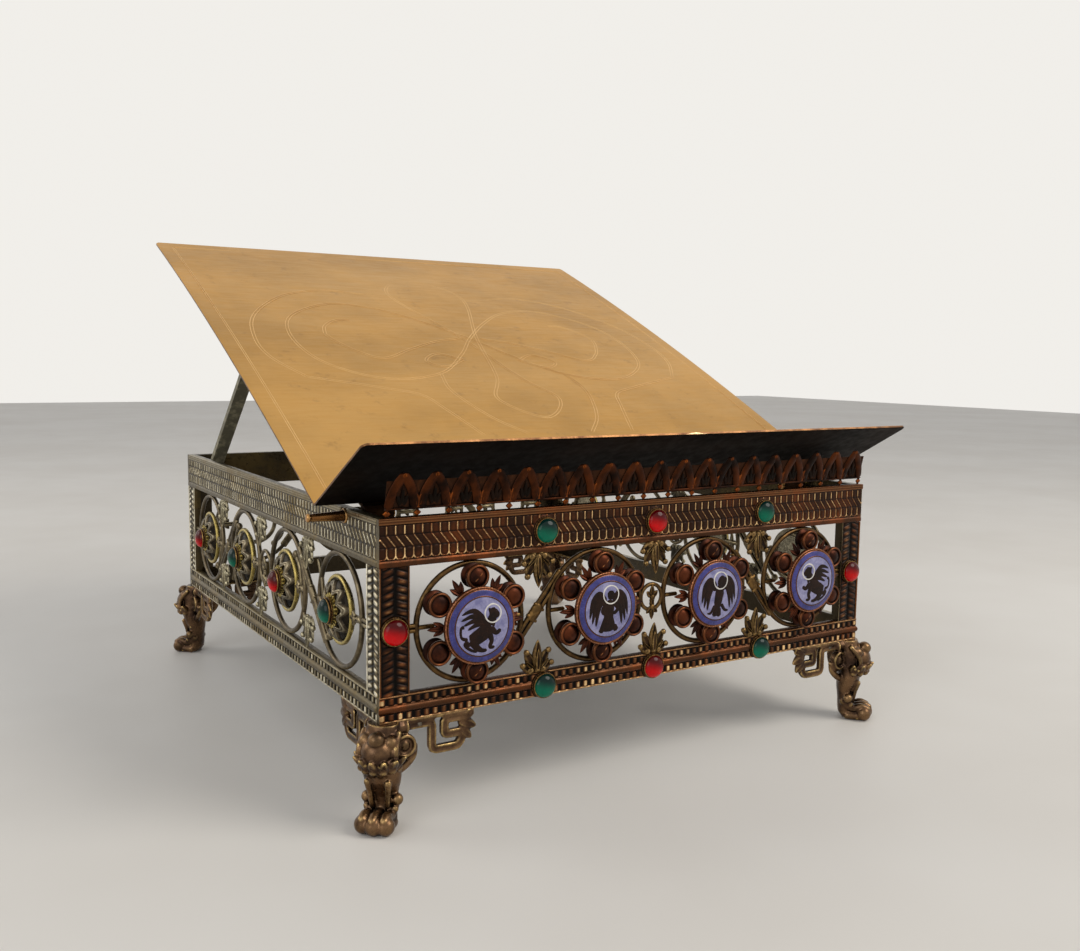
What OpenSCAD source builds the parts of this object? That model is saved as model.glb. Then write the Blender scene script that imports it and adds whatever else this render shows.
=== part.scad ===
// Table-top lectern: an openwork frame on four cast feet, a bent sheet-brass
// desk hinged on a cross rod at the front, and a prop frame at the back.
// Sizes are in millimetres. X runs along the front, +Y points away from the
// reader, +Z is up. Pieces are drawn from the front face of the frame (y = 0)
// and the floor (z = 0), then moved so that the origin is under the middle.

/* [Frame] */
// Width of the frame over its outer faces
frame_w = 300; // [270:1:340]
// Depth of the frame over its outer faces
frame_d = 330; // [300:1:370]
// Height of the frame, bottom rail to top rail
frame_h = 91; // [84:0.5:104]
// Thickness of every rail, outer face to inner face
rail_t = 5; // [4.5:0.1:7]
// Height of the top rails
top_rail_h = 21.5; // [20:0.5:26]
// Height of the bottom rails
bottom_rail_h = 12; // [11.6:0.2:14]
// Width of each leg of a corner angle
post_w = 15; // [14.5:0.5:18]
// Thickness of a corner angle
post_t = 4; // [3:0.1:4.2]
// How far the plain edges of the rails stand in front of the worked field
field_depth = 0.8; // [0.6:0.1:1.2]

/* [Feet] */
// Height of the feet, floor to frame
foot_h = 47; // [42:0.5:56]
// Length of a foot wing along its rail
wing_len = 49; // [44:1:58]
// Thickness of the wing web
wing_t = 4.4; // [4:0.1:5]
// Thickness of the top bar of a wing
wing_bar = 3.6; // [3.2:0.1:4.5]
// Side of the square key spiral
key_size = 18; // [15:0.5:20]
// Radius of the head ball of a foot
head_r = 7.6; // [7:0.1:8]
// Radius of the toe scroll
toe_r = 4.8; // [3.8:0.1:5]
// Distance of the toe scroll outside the frame's corner
toe_out = 6.5; // [5:0.5:8]
// Width of the toe scroll
toe_w = 16; // [13:0.5:16.5]
// Shank diameter of the foot screws
foot_screw_d = 2.4; // [2:0.1:3]
// Height of a foot screw's head
foot_screw_head = 1.4; // [1:0.1:2]
// Length of thread that a foot screw has in the rail
foot_screw_grip = 5.6; // [4:0.1:6]
// Distance of a foot screw from the frame corner
foot_screw_at = 20; // [17:0.5:22]

/* [Scrollwork] */
// Thickness of the scroll panels, front to back
scroll_t = 2.6; // [2:0.1:2.8]
// Width of the drawn bar of the scrolls
wire_w = 2.7; // [2.2:0.1:3.2]
// Gap of the rings to the rails, filled by the collars
ring_gap = 0.3; // [0.3:0.1:1.6]
// Distance of the outer rings of the front and the back from the corner
front_ring_in = 45.9; // [45.9:0.1:48]
// Distance of the outer rings of the sides from the corner
side_ring_in = 51.75; // [51:0.05:56]
// Length of a leaf lobe
leaf_len = 17; // [14:0.5:20]
// Thickness of the leaf castings
leaf_t = 2.4; // [1.8:0.1:2.6]

/* [Medallions] */
// Radius of the enamel plaque
enamel_r = 16.8; // [14:0.1:17]
// Wall of the bezel round the plaque
bezel_wall = 1.2; // [1:0.1:1.8]
// Thickness of the bezel floor
bezel_floor = 1; // [0.8:0.1:1.6]
// Height of the domed enamel at its middle
enamel_dome = 3.2; // [2.4:0.1:4]
// Radius of a petal disc
petal_r = 5.9; // [5:0.1:6]
// Radius of the circle on which the petal discs lie
petal_at = 21.8; // [21.2:0.1:22.4]
// Height of a petal disc, from its foot on the ring to its rim
petal_t = 7; // [5:0.1:7.4]
// Radius of a side boss
boss_r = 17; // [14:0.5:18]
// Height of a side boss
boss_h = 6; // [5:0.5:9]
// Thickness that a panel keeps under a boss
boss_seat = 1.2; // [1:0.1:1.6]

/* [Stones] */
// Radius of a glass cabochon
stone_r = 5.8; // [4:0.1:5.9]
// Height of a cabochon
stone_h = 4.4; // [3:0.1:4.8]
// Wall of the collet round a cabochon
collet_wall = 0.7; // [0.6:0.1:0.8]
// Height of a collet
collet_h = 2; // [1.6:0.1:2.4]
// Distance by which the outer stones of the rails stand off the leaves
stone_off = 4; // [0:0.5:5]
// Distance of the bottom rail's stones below its middle
stone_low = 0.6; // [0.6:0.1:1]

/* [Crest] */
// Height of the crest along its own slope
crest_h = 22; // [20:0.5:23]
// Thickness of the crest plate
crest_t = 1.6; // [1.4:0.1:2]
// Number of arches in the crest
arches = 19; // [17:1:21]
// Outward lean of the crest in degrees
crest_lean = 12; // [6:1:14]
// Width of the arch bands
crest_band = 2; // [1.6:0.1:2.3]

/* [Desk] */
// Width of the desk sheet
desk_w = 328; // [316:1:360]
// Length of the desk from the fold to the top edge
desk_len = 337; // [310:1:345]
// Length of the book ledge from the fold to its edge
ledge_len = 66; // [50:1:70]
// Thickness of the sheet
sheet_t = 1.5; // [1.2:0.1:2]
// Slope of the desk as it stands, in degrees
desk_angle = 24.8; // [22:0.1:26]
// Rise of the ledge above level, in degrees
ledge_angle = 29.3; // [29:0.1:34]
// Rise of the slightly bowed sheet at mid length
bow = 4.5; // [2:0.1:6]
// Inner radius of the fold between desk and ledge
bend_r = 2; // [1:0.5:4]
// Corner radius of the sheet
corner_r = 3; // [2:0.5:14]

/* [Hinge] */
// Diameter of the two hinge pins
rod_d = 5; // [4:0.1:5.4]
// Distance of the pins behind the front face of the frame
rod_y = 40.5; // [38:0.5:44]
// Depth of the pin centres below the top of the frame
rod_drop = 3.7; // [3.7:0.1:4.4]
// Length of pin that stands out at each side
rod_out = 18; // [15:0.5:26]
// Length of pin inside the brackets
rod_in = 17; // [14:0.5:24]
// Radial running clearance of pins in their holes
run_gap = 0.05; // [0.02:0.01:0.1]
// Wall of the knuckles round the pins
knuckle_wall = 1.5; // [1.4:0.1:1.7]
// Length of a knuckle
knuckle_len = 14; // [10:0.5:14]
// Length of the leaf that joins a knuckle to the sheet
knuckle_leaf = 20; // [14:0.5:22]
// Gap between a knuckle and its bracket
knuckle_gap = 1.5; // [1:0.5:3]
// Gap between the sheet and the rails when the desk lies flat
flat_gap = 0.6; // [0.5:0.1:1.5]
// Thickness of the hinge brackets
bracket_t = 3; // [2.4:0.1:4]

/* [Prop] */
// Height of the racks under the desk
rack_h = 5; // [4:0.1:6]
// Width of a rack
rack_w = 8; // [6:0.5:12]
// Distance of each rack from the middle
rack_x = 114; // [90:1:122]
// Distance from the fold to the notch in use
seat_at = 175.8; // [172:0.1:178]
// Distance from the fold to the lower end of a rack
rack_start = 24; // [22:0.5:60]
// Length of a rack above the notch in use
rack_beyond = 46; // [36:0.5:70]
// Depth of the shallow notches
notch_depth = 0.3; // [0.25:0.05:0.35]
// Spacing of the notches
notch_step = 9; // [8:0.5:12]
// Play of the cross bar in its notch
seat_gap = 0.3; // [0.3:0.05:0.4]
// Radius of the prop's cross bar
bar_r = 3; // [2.6:0.1:3.2]
// Width of a prop arm across the frame
arm_w = 8; // [6:0.5:10]
// Thickness of a prop arm
arm_t = 3.4; // [3:0.1:4]
// Gap between a prop arm and the rail
arm_gap = 0.5; // [0.4:0.1:1]
// Distance of the prop pivot from the back face of the frame
pivot_from_back = 26; // [24:0.5:30]
// Depth of the prop pivot below the top of the frame
pivot_drop = 14; // [12:0.5:16]
// Shank diameter of the prop pivots
pivot_d = 4; // [3.6:0.1:4.4]

/* [Hidden] */
$fn = 48;
big = 1200;

// Colours as the photograph shows them
old_brass = [0.34, 0.22, 0.12];
grey_brass = [0.42, 0.38, 0.30];
cast_brass = [0.40, 0.28, 0.16];
dark_iron = [0.22, 0.17, 0.12];
gold_sheet = [0.76, 0.57, 0.30];
blue_enamel = [0.30, 0.31, 0.62];
red_glass = [0.65, 0.07, 0.06];
green_glass = [0.00, 0.38, 0.30];

frame_top = foot_h + frame_h;
win_z0 = foot_h + bottom_rail_h;
win_h = frame_h - bottom_rail_h - top_rail_h;
win_zm = win_z0 + win_h / 2;
ring_r = win_h / 2 - ring_gap;
ring_mid = ring_r - wire_w / 2;
front_pitch = (frame_w - 2 * front_ring_in) / 3;
side_pitch = (frame_d - 2 * side_ring_in) / 3;
scroll_y = field_depth + 0.4;
bezel_r = enamel_r + bezel_wall;
collet_r = stone_r + collet_wall;
rail_seat = 0.2;

// Hinge and desk, seen from the side
rod_z = frame_top - rod_drop;
knuckle_r = rod_d / 2 + run_gap + knuckle_wall;
sheet_off = rod_drop + flat_gap;
open_angle = 180 - desk_angle - ledge_angle;
half_open = open_angle / 2;
fold_s = sheet_off / tan(half_open);
bow_r = (desk_len * desk_len / 4 + bow * bow) / (2 * bow);
bow_cs = fold_s + desk_len / 2;
bow_cn = sheet_off + bow - bow_r;
bow_slope = asin(desk_len / 2 / bow_r);
bend_half = (open_angle - bow_slope) / 2;
bend_out = bend_r + sheet_t;
bend_start = bend_out / tan(bend_half);
fold_ease = 0.08;
function under(s) = bow_cn + sqrt(bow_r * bow_r - (s - bow_cs) * (s - bow_cs));
function desk_y(s, n) = rod_y + s * cos(desk_angle) - n * sin(desk_angle);
function desk_z(s, n) = rod_z + s * sin(desk_angle) + n * cos(desk_angle);

// The ends of the sheet set the depth of the whole, and the origin
ledge_u = fold_s + ledge_len;
y_front = rod_y + sheet_off * sin(ledge_angle) - ledge_u * cos(ledge_angle);
y_back = desk_y(fold_s + desk_len, sheet_off);
y_shift = -(y_front + y_back) / 2;

// Prop: the cross bar in its notch, the pivot, and the arm between them
notch_r = bar_r + seat_gap;
seat_s = fold_s + seat_at;
seat_n = under(seat_s) - rack_h - notch_r + notch_depth;
bar_y = desk_y(seat_s, seat_n);
bar_z = desk_z(seat_s, seat_n);
pivot_y = frame_d - pivot_from_back;
pivot_z = frame_top - pivot_drop;
arm_len = sqrt(pow(pivot_y - bar_y, 2) + pow(bar_z - pivot_z, 2));
arm_angle = atan2(bar_z - pivot_z, bar_y - pivot_y);
arm_x = frame_w / 2 - rail_t - arm_gap;
top_eye_r = bar_r + 1.7;
pivot_eye_r = pivot_d / 2 + 2.6;

module placed() translate([0, y_shift, 0]) children();

// Puts a piece drawn for the front on the given side: 0 front, 1 right,
// 2 back, 3 left. The piece is drawn about x = 0 with its face at y = 0.
function side_len(i) = (i % 2 == 0) ? frame_w : frame_d;
function side_back(i) = (i % 2 == 0) ? frame_d : frame_w;
module on_side(i)
    translate([0, frame_d / 2, 0]) rotate([0, 0, 90 * i])
        translate([0, -side_back(i) / 2, 0]) children();

// Turns a flat drawing in x and z into a plate between y0 and y0 + t
module upright(y0, t)
    translate([0, y0 + t, 0]) rotate([90, 0, 0]) linear_extrude(height = t)
        children();

module front_disc(x, z, y0, t, r)
    translate([x, y0 + t, z]) rotate([90, 0, 0]) cylinder(h = t, r = r);

// A solid of revolution whose axis points at the reader, base at y0
module front_turned(x, z, y0)
    translate([x, y0, z]) rotate([90, 0, 0]) rotate_extrude() children();

// Rails

module mitre(len)
    linear_extrude(height = big) polygon([
        [-len / 2 - 2, -2], [len / 2 + 2, -2],
        [len / 2 - rail_t, rail_t], [-len / 2 + rail_t, rail_t]]);

module along(len)
    translate([-len / 2 - 2, 0, 0]) rotate([90, 0, 90])
        linear_extrude(height = len + 4) children();

// Section of a top rail: plain lip, ribbed strip, braid, ribbed strip, fillet
module top_section() {
    h = top_rail_h;
    b = h * 0.13;
    polygon([[rail_t, 0], [rail_t, h], [0, h], [0, h - 2.2],
        [field_depth, h - 2.8], [field_depth, h / 2 + b],
        [0.35, h / 2 + b - 0.8], [rail_seat, h / 2], [0.35, h / 2 - b + 0.8],
        [field_depth, h / 2 - b], [field_depth, 2.6], [0.3, 2], [0.3, 0]]);
}

// Section of a bottom rail: ribbed strip, round bead, ribbed strip
module bottom_section() {
    h = bottom_rail_h;
    union() {
        polygon([[rail_t, 0], [rail_t, h], [0.3, h], [0.3, h - 1],
            [field_depth, h - 1.4], [field_depth, 1.4], [0.3, 1], [0.3, 0]]);
        translate([field_depth + 0.6, h / 2]) circle(r = 1.9);
    }
}

module rail_top(i) {
    len = side_len(i);
    on_side(i) translate([0, 0, frame_top - top_rail_h]) intersection() {
        along(len) top_section();
        mitre(len);
    }
}

module rail_bottom(i) {
    len = side_len(i);
    on_side(i) difference() {
        translate([0, 0, foot_h]) intersection() {
            along(len) bottom_section();
            mitre(len);
        }
        for (m = [-1, 1])
            translate([m * (len / 2 - foot_screw_at), rail_t / 2, foot_h - 1])
                cylinder(h = foot_screw_grip + 1.4 + run_gap,
                    d = foot_screw_d + 2 * run_gap);
    }
}

// Clears a round seat for a stone in a front rail
module stone_seats(z)
    for (i = [-1, 0, 1])
        front_disc(stone_x(i), z, rail_seat - 4, 4, collet_r + run_gap);

function stone_x(i) = i * front_pitch + abs(i) * stone_off;
top_stone_z = frame_top - top_rail_h / 2;
bottom_stone_z = foot_h + bottom_rail_h / 2 - stone_low;

module rail_top_front() color(old_brass) placed() difference() {
    rail_top(0);
    stone_seats(top_stone_z);
}
module rail_top_back() color(grey_brass) placed() rail_top(2);
module rod_hole()
    translate([-big / 2, rod_y, rod_z]) rotate([0, 90, 0])
        cylinder(h = big, d = rod_d + 2 * run_gap);
// Blind holes for the bracket screws and the prop pivots, in both side rails
module side_rail_holes()
    for (m = [-1, 1]) {
        for (k = [-1, 1])
            translate([m * (frame_w / 2 - rail_t), rod_y + k * bracket_screw,
                rod_z - bracket_low]) rotate([0, 90, 0])
                cylinder(h = 6, d = 2 + 2 * run_gap, center = true);
        translate([m * (frame_w / 2 - rail_t), pivot_y, pivot_z])
            rotate([0, 90, 0])
                cylinder(h = 6, d = pivot_d + 2 * run_gap, center = true);
    }
module rail_top_left() color(grey_brass) placed() difference() {
    rail_top(3);
    rod_hole();
    side_rail_holes();
}
module rail_top_right() color(grey_brass) placed() difference() {
    rail_top(1);
    rod_hole();
    side_rail_holes();
}
module rail_bottom_front() color(old_brass) placed() difference() {
    rail_bottom(0);
    stone_seats(bottom_stone_z);
}
module rail_bottom_back() color(grey_brass) placed() rail_bottom(2);
module rail_bottom_left() color(grey_brass) placed() rail_bottom(3);
module rail_bottom_right() color(grey_brass) placed() rail_bottom(1);

// Corner angles, between the rails. mx and my choose the corner.

module at_corner(mx, my)
    translate([mx * frame_w / 2, (my > 0) ? frame_d : 0, 0])
        mirror([(mx > 0) ? 1 : 0, 0, 0]) mirror([0, (my > 0) ? 1 : 0, 0])
            children();

module post(mx, my)
    at_corner(mx, my) translate([0, 0, win_z0]) linear_extrude(height = win_h)
        polygon([[field_depth, field_depth], [post_w, field_depth],
            [post_w, field_depth + post_t],
            [field_depth + post_t, field_depth + post_t],
            [field_depth + post_t, post_w], [field_depth, post_w]]);

module post_front_left() color(old_brass) placed() post(-1, -1);
module post_front_right() color(old_brass) placed() post(1, -1);
module post_back_left() color(grey_brass) placed() post(-1, 1);
module post_back_right() color(grey_brass) placed() post(1, 1);

// Scroll panels. A ring is held by collars at the rails; slanting double bars
// join the rings and a small ring fills the middle gap.

module ring(r, w) difference() {
    circle(r = r);
    circle(r = r - w);
}

module bar(x, z, len, w, a)
    translate([x, z]) rotate(a) square([len, w], center = true);

module link(x, pitch, dir) {
    lean = asin(2 * ring_mid / pitch);
    tangent = 2 * sqrt(pitch * pitch / 4 - ring_mid * ring_mid);
    union() {
        bar(x, 0, tangent + 1, wire_w - 0.4, dir * lean);
        translate([x, 0]) rotate(dir * lean) {
            translate([0, 3.9]) square([tangent - 9, 1.5], center = true);
            translate([0, -3.9]) square([tangent - 9, 1.5], center = true);
            translate([tangent / 2 - 6, 2.6]) circle(r = 2.1);
            translate([6 - tangent / 2, -2.6]) circle(r = 2.1);
        }
    }
}

module scroll(len, pitch, spoked) {
    inner = len - 2 * post_w;
    reach = inner / 2 - 1.5 * pitch - ring_mid;
    union() {
        for (i = [0:3]) translate([(i - 1.5) * pitch, 0]) {
            ring(ring_r, wire_w);
            for (m = [-1, 1])
                translate([0, m * (win_h / 2 - (ring_gap + 1) / 2)])
                    square([6, ring_gap + 1], center = true);
            if (spoked) ring(boss_r - 1.5, 2.4);
            if (spoked) for (k = [0:1]) rotate(180 * k)
                translate([(boss_r - 3 + ring_mid) / 2, 0])
                    square([ring_mid - boss_r + 3, 4], center = true);
        }
        link(-pitch, pitch, 1);
        link(pitch, pitch, -1);
        ring(pitch / 2 - ring_mid, 2.1);
        for (m = [-1, 1])
            translate([m * (inner / 2 - reach / 2), 0])
                square([reach, 4.4], center = true);
    }
}

boss_y = scroll_y + scroll_t - boss_seat;
module scroll_panel(i, spoked) {
    pitch = (i % 2 == 0) ? front_pitch : side_pitch;
    on_side(i) difference() {
        translate([0, 0, win_zm]) upright(scroll_y, scroll_t)
            scroll(side_len(i), pitch, spoked);
        if (spoked) for (k = [0:3])
            front_disc((k - 1.5) * pitch, win_zm, boss_y - big, big,
                boss_r + run_gap);
    }
}

module scroll_front() color(old_brass) placed() scroll_panel(0, false);
module scroll_back() color(grey_brass) placed() scroll_panel(2, true);
module scroll_left() color(grey_brass) placed() scroll_panel(3, true);
module scroll_right() color(grey_brass) placed() scroll_panel(1, true);

// Leaf castings on the panels, between the rings, at both rails

module lobe(len, w) {
    r = (len * len / 4 + w * w / 4) / w;
    intersection() {
        translate([r - w / 2, len / 2]) circle(r = r);
        translate([w / 2 - r, len / 2]) circle(r = r);
    }
}

module leaf() intersection() {
    union() {
        for (a = [-42, 0, 42]) rotate(a) lobe(leaf_len, 6.4);
        for (a = [-72, 72]) rotate(a) lobe(leaf_len * 0.62, 4.4);
        translate([-4, 0]) square([8, 3]);
    }
    translate([-leaf_len, 0]) square(2 * leaf_len);
}

module leaves(i, pitch)
    on_side(i) for (k = [-1, 0, 1]) {
        translate([k * pitch, 0, win_z0 + win_h])
            upright(scroll_y - leaf_t, leaf_t) mirror([0, 1]) leaf();
        translate([k * pitch, 0, win_z0]) upright(scroll_y - leaf_t, leaf_t)
            leaf();
    }

module leaves_front() color(cast_brass) placed() leaves(0, front_pitch);
module leaves_left() color(cast_brass) placed() leaves(3, side_pitch);
module leaves_right() color(cast_brass) placed() leaves(1, side_pitch);

// Petal discs: six round each medallion, bridging from the ring to the bezel

module petal_discs() color(cast_brass) placed()
    for (i = [0:3], k = [0:5])
        front_turned((i - 1.5) * front_pitch + petal_at * sin(60 * k),
            win_zm + petal_at * cos(60 * k), scroll_y) polygon([[0, 0],
                [petal_r, 0], [petal_r, 1.2], [3.7, 1.8], [3.7, petal_t - 3],
                [petal_r, petal_t - 2], [petal_r, petal_t - 0.3],
                [petal_r - 0.3, petal_t],
                [petal_r - 0.8, petal_t], [petal_r - 1.1, petal_t - 0.6],
                [2.6, petal_t - 0.1], [0, petal_t]]);

// Medallions: a bezel cup on the petals, and a domed enamel plaque in it

bezel_y = scroll_y - petal_t;
module medallion_bezels() color(cast_brass) placed()
    for (i = [0:3])
        front_turned((i - 1.5) * front_pitch, win_zm, bezel_y) polygon([
            [0, 0], [bezel_r, 0], [bezel_r, bezel_floor + 0.8],
            [bezel_r - 0.3, bezel_floor + 1.2],
            [enamel_r + run_gap, bezel_floor + 1.2],
            [enamel_r + run_gap, bezel_floor], [0, bezel_floor]]);

module enamel(i)
    front_turned((i - 1.5) * front_pitch, win_zm, bezel_y - bezel_floor)
        polygon([[0, 0], [enamel_r, 0], [enamel_r, 1.3],
            for (a = [1:6]) [enamel_r * cos(15 * a),
                1.3 + (enamel_dome - 1.3) * sin(15 * a)]]);

module medallion_1() color(blue_enamel) placed() enamel(0);
module medallion_2() color(blue_enamel) placed() enamel(1);
module medallion_3() color(blue_enamel) placed() enamel(2);
module medallion_4() color(blue_enamel) placed() enamel(3);

// Side bosses: a rimmed dome on the spokes, flat on top for the collet

module bosses(i)
    on_side(i) for (k = [0:3])
        front_turned((k - 1.5) * side_pitch, win_zm, boss_y) polygon([
            [0, 0], [boss_r, 0], [boss_r, 2], [boss_r - 1, 2.4],
            [boss_r - 2.4, 2.4], [boss_r - 3.4, 1.8],
            for (a = [0:5]) [collet_r + 0.6 + (boss_r - 4.4 - collet_r)
                * cos(15 + 15 * a), 1.8 + (boss_h - 1.8) * sin(15 + 15 * a)],
            [0, boss_h]]);

module bosses_left() color(cast_brass) placed() bosses(3);
module bosses_right() color(cast_brass) placed() bosses(1);

// Stones in their collets. Each list row is [x, z, seat].

collet_floor = 0.6;
front_stones = [
    [stone_x(-1), top_stone_z, rail_seat, 1],
    [0, top_stone_z, rail_seat, 0],
    [stone_x(1), top_stone_z, rail_seat, 1],
    [stone_x(-1), bottom_stone_z, rail_seat, 1],
    [0, bottom_stone_z, rail_seat, 0],
    [stone_x(1), bottom_stone_z, rail_seat, 1],
    [-(frame_w - post_w) / 2, win_zm, field_depth, 0],
    [(frame_w - post_w) / 2, win_zm, field_depth, 0]];
function side_stones(i) = [for (k = [0:3])
    [(k - 1.5) * side_pitch, win_zm, boss_y - boss_h,
        (i == 3) ? k % 2 : 1 - k % 2]];

module collet(p)
    front_turned(p[0], p[1], p[2]) polygon([[0, 0], [collet_r, 0],
        [collet_r, collet_h - 0.4], [stone_r + 0.3, collet_h],
        [stone_r + run_gap, collet_h], [stone_r + run_gap, collet_floor],
        [0, collet_floor]]);

module stone(p)
    front_turned(p[0], p[1], p[2] - collet_floor) polygon([[0, 0],
        [stone_r, 0], [stone_r, 0.9], for (a = [1:6])
            [stone_r * cos(15 * a), 0.9 + (stone_h - 0.9) * sin(15 * a)]]);

module stones(list, kind)
    for (p = list) if (p[3] == kind) stone(p);

module collets_front() color(cast_brass) placed()
    for (p = front_stones) collet(p);
module collets_sides() color(cast_brass) placed()
    for (i = [1, 3]) on_side(i) for (p = side_stones(i)) collet(p);
module stones_red_front() color(red_glass) placed() stones(front_stones, 0);
module stones_green_front() color(green_glass) placed()
    stones(front_stones, 1);
module stones_red_sides() color(red_glass) placed()
    for (i = [1, 3]) on_side(i) stones(side_stones(i), 0);
module stones_green_sides() color(green_glass) placed()
    for (i = [1, 3]) on_side(i) stones(side_stones(i), 1);

// Crest: a strip of pointed arches on small pendants, leaning out

crest_w = frame_w - 6;
arch_w = crest_w / arches;
crest_low = 3.6;

// Pointed arch outline, its foot at y = 0, w wide and h high
module pointed(w, h) {
    r = (w * w / 4 + h * h) / w;
    intersection() {
        translate([r - w / 2, 0]) circle(r = r);
        translate([w / 2 - r, 0]) circle(r = r);
        translate([-w, 0]) square([2 * w, h]);
    }
}

module arch() {
    h = crest_h - crest_low;
    union() {
        difference() {
            pointed(arch_w + 0.6, h);
            translate([0, -1]) pointed(arch_w - 2 * crest_band, h - crest_band);
        }
        translate([0, 2.2]) ring(2.6, 1);
        translate([-0.6, -1]) square([1.2, 2]);
    }
}

module crest() color(old_brass) placed() intersection() {
    translate([0, 0.3, frame_top]) rotate([crest_lean, 0, 0])
        upright(0, crest_t) union() {
            for (i = [0:arches - 1])
                translate([(i - (arches - 1) / 2) * arch_w, crest_low]) arch();
            translate([-crest_w / 2, crest_low - 1.6]) square([crest_w, 2.2]);
            for (i = [0:arches])
                translate([(i - arches / 2) * arch_w, 0])
                    translate([(i == 0) ? 0.9 : (i == arches) ? -0.9 : 0, 0])
                        union() {
                            translate([-0.9, -1]) square([1.8, crest_low]);
                            translate([0, 1.7]) circle(r = 1.5, $fn = 4);
                        }
        }
    translate([-big / 2, -big / 2, frame_top]) cube(big);
}

// Feet. Drawn at a corner of the frame, inward along +x and +y, top at z = 0.

module wing_outline() {
    key_x = wing_len - 6 - key_size;
    w = 2.7;
    union() {
        translate([1, -wing_bar]) square([wing_len - 3, wing_bar]);
        difference() {
            translate([1, -30]) square([24, 30]);
            translate([29, -31]) circle(r = 25.5);
        }
        difference() {
            translate([key_x, -key_size]) square([key_size, key_size]);
            translate([key_x + w, -key_size + w])
                square([key_size - 2 * w, key_size - 2 * w]);
        }
        translate([key_x + 2 * w, -key_size / 2 - w / 2])
            square([key_size - 4 * w, w]);
        translate([key_x + 2 * w, -key_size / 2 - w / 2])
            square([w, key_size / 2]);
        translate([wing_len - 8, -5]) rotate(-72) lobe(10, 4.6);
        translate([wing_len - 8, -8.5]) rotate(-105) lobe(10, 5);
    }
}

module wing() union() {
    upright(rail_t / 2 - wing_t / 2, wing_t) wing_outline();
    translate([1, 0.3, -wing_bar]) cube([wing_len - 9, 7.7, wing_bar]);
    front_disc(12.6, -11.5, -2.2, 4.4, 5);
    front_disc(12.6, -11.5, -3, 2, 2.4);
}

module foot_screw_hole(extra) {
    translate([foot_screw_at, rail_t / 2, -big])
        cylinder(h = big - wing_bar + foot_screw_head,
            d = foot_screw_d + foot_screw_head + extra);
    translate([foot_screw_at, rail_t / 2, -wing_bar])
        cylinder(h = wing_bar + 1, d = foot_screw_d + extra);
}

// Leg from its side: outward along the diagonal of the corner, and up
module leg_side() polygon([[-12, 0], [1, 0], [4.5, -3], [7, -8], [7.6, -12],
    [7, -18], [6, -foot_h + 24.5], [2, -foot_h + 20], [-2.8, -foot_h + 17],
    [-3.4, -foot_h + 13], [-3.8, -foot_h + 8.5], [-1.5, -foot_h + 4.8],
    [2, -foot_h + 3.8], [toe_out, -foot_h + 3.7], [toe_out, -foot_h],
    [-1, -foot_h], [-5, -foot_h + 2.4], [-9.5, -foot_h + 4.5],
    [-9.8, -foot_h + 13], [-10, -foot_h + 20], [-12, -foot_h + 27]]);

// Leg along that diagonal: broad calf, narrower ankle and broad toe
module leg_front() for (m = [0, 1]) mirror([m, 0])
    polygon([[-1, 0], [9, 0], [10, -8], [10.5, -20], [9, -foot_h + 20],
        [7.4, -foot_h + 13], [7.2, -foot_h + 8], [toe_w / 2, -foot_h + 5],
        [toe_w / 2, -foot_h], [-1, -foot_h]]);

module leg() rotate([0, 0, 225]) union() {
    intersection() {
        rotate([90, 0, 0]) translate([0, 0, -15])
            linear_extrude(height = 30) leg_side();
        rotate([90, 0, 90]) translate([0, 0, -30])
            linear_extrude(height = 60) leg_front();
    }
    translate([toe_out, 0, toe_r - foot_h]) rotate([90, 0, 0])
        cylinder(h = toe_w, r = toe_r, center = true);
    translate([toe_out, 0, toe_r - foot_h]) rotate([90, 0, 0])
        cylinder(h = toe_w + 2, r = 2, center = true);
    translate([0.4, 0, -10]) sphere(r = head_r);
    translate([1.6, 0, -4.5]) sphere(r = 4.3);
}

module foot() difference() {
    union() {
        wing();
        mirror([1, -1, 0]) wing();
        leg();
    }
    foot_screw_hole(2 * run_gap);
    mirror([1, -1, 0]) foot_screw_hole(2 * run_gap);
}

module set_foot(mx, my) at_corner(mx, my) translate([0, 0, foot_h]) foot();

module foot_front_left() color(cast_brass) placed() set_foot(-1, -1);
module foot_front_right() color(cast_brass) placed() set_foot(1, -1);
module foot_back_left() color(cast_brass) placed() set_foot(-1, 1);
module foot_back_right() color(cast_brass) placed() set_foot(1, 1);

module foot_screw() union() {
    translate([foot_screw_at, rail_t / 2, -wing_bar])
        cylinder(h = foot_screw_head, d = foot_screw_d + foot_screw_head);
    translate([foot_screw_at, rail_t / 2, -wing_bar + foot_screw_head])
        cylinder(h = wing_bar - foot_screw_head + foot_screw_grip,
            d = foot_screw_d);
}

module foot_screws() color(dark_iron) placed()
    for (mx = [-1, 1], my = [-1, 1])
        at_corner(mx, my) translate([0, 0, foot_h]) {
            foot_screw();
            mirror([1, -1, 0]) foot_screw();
        }

// Hinge

bracket_screw = 8.5;
bracket_low = 4;
bracket_x = frame_w / 2 - rail_t - bracket_t;

module hinge_rod() color(cast_brass) placed()
    for (m = [-1, 1])
        translate([m * (frame_w / 2 + rod_out), rod_y, rod_z])
            rotate([0, -90 * m, 0])
                cylinder(h = rod_out + rail_t + bracket_t + rod_in, d = rod_d);

module bracket_outline() union() {
    circle(r = knuckle_r - 0.3);
    translate([-12, -bracket_low - 3.4]) square([24, 6.4]);
}

// A bearing plate screwed to the inner face of a side rail
module hinge_bracket(m) difference() {
    translate([m * (bracket_x + bracket_t / 2) - bracket_t / 2, rod_y, rod_z])
        rotate([90, 0, 90]) linear_extrude(height = bracket_t)
            bracket_outline();
    rod_hole();
    for (k = [-1, 1])
        translate([0, rod_y + k * bracket_screw, rod_z - bracket_low])
            rotate([0, 90, 0]) cylinder(h = big, d = 2 + 2 * run_gap,
                center = true);
}

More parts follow.
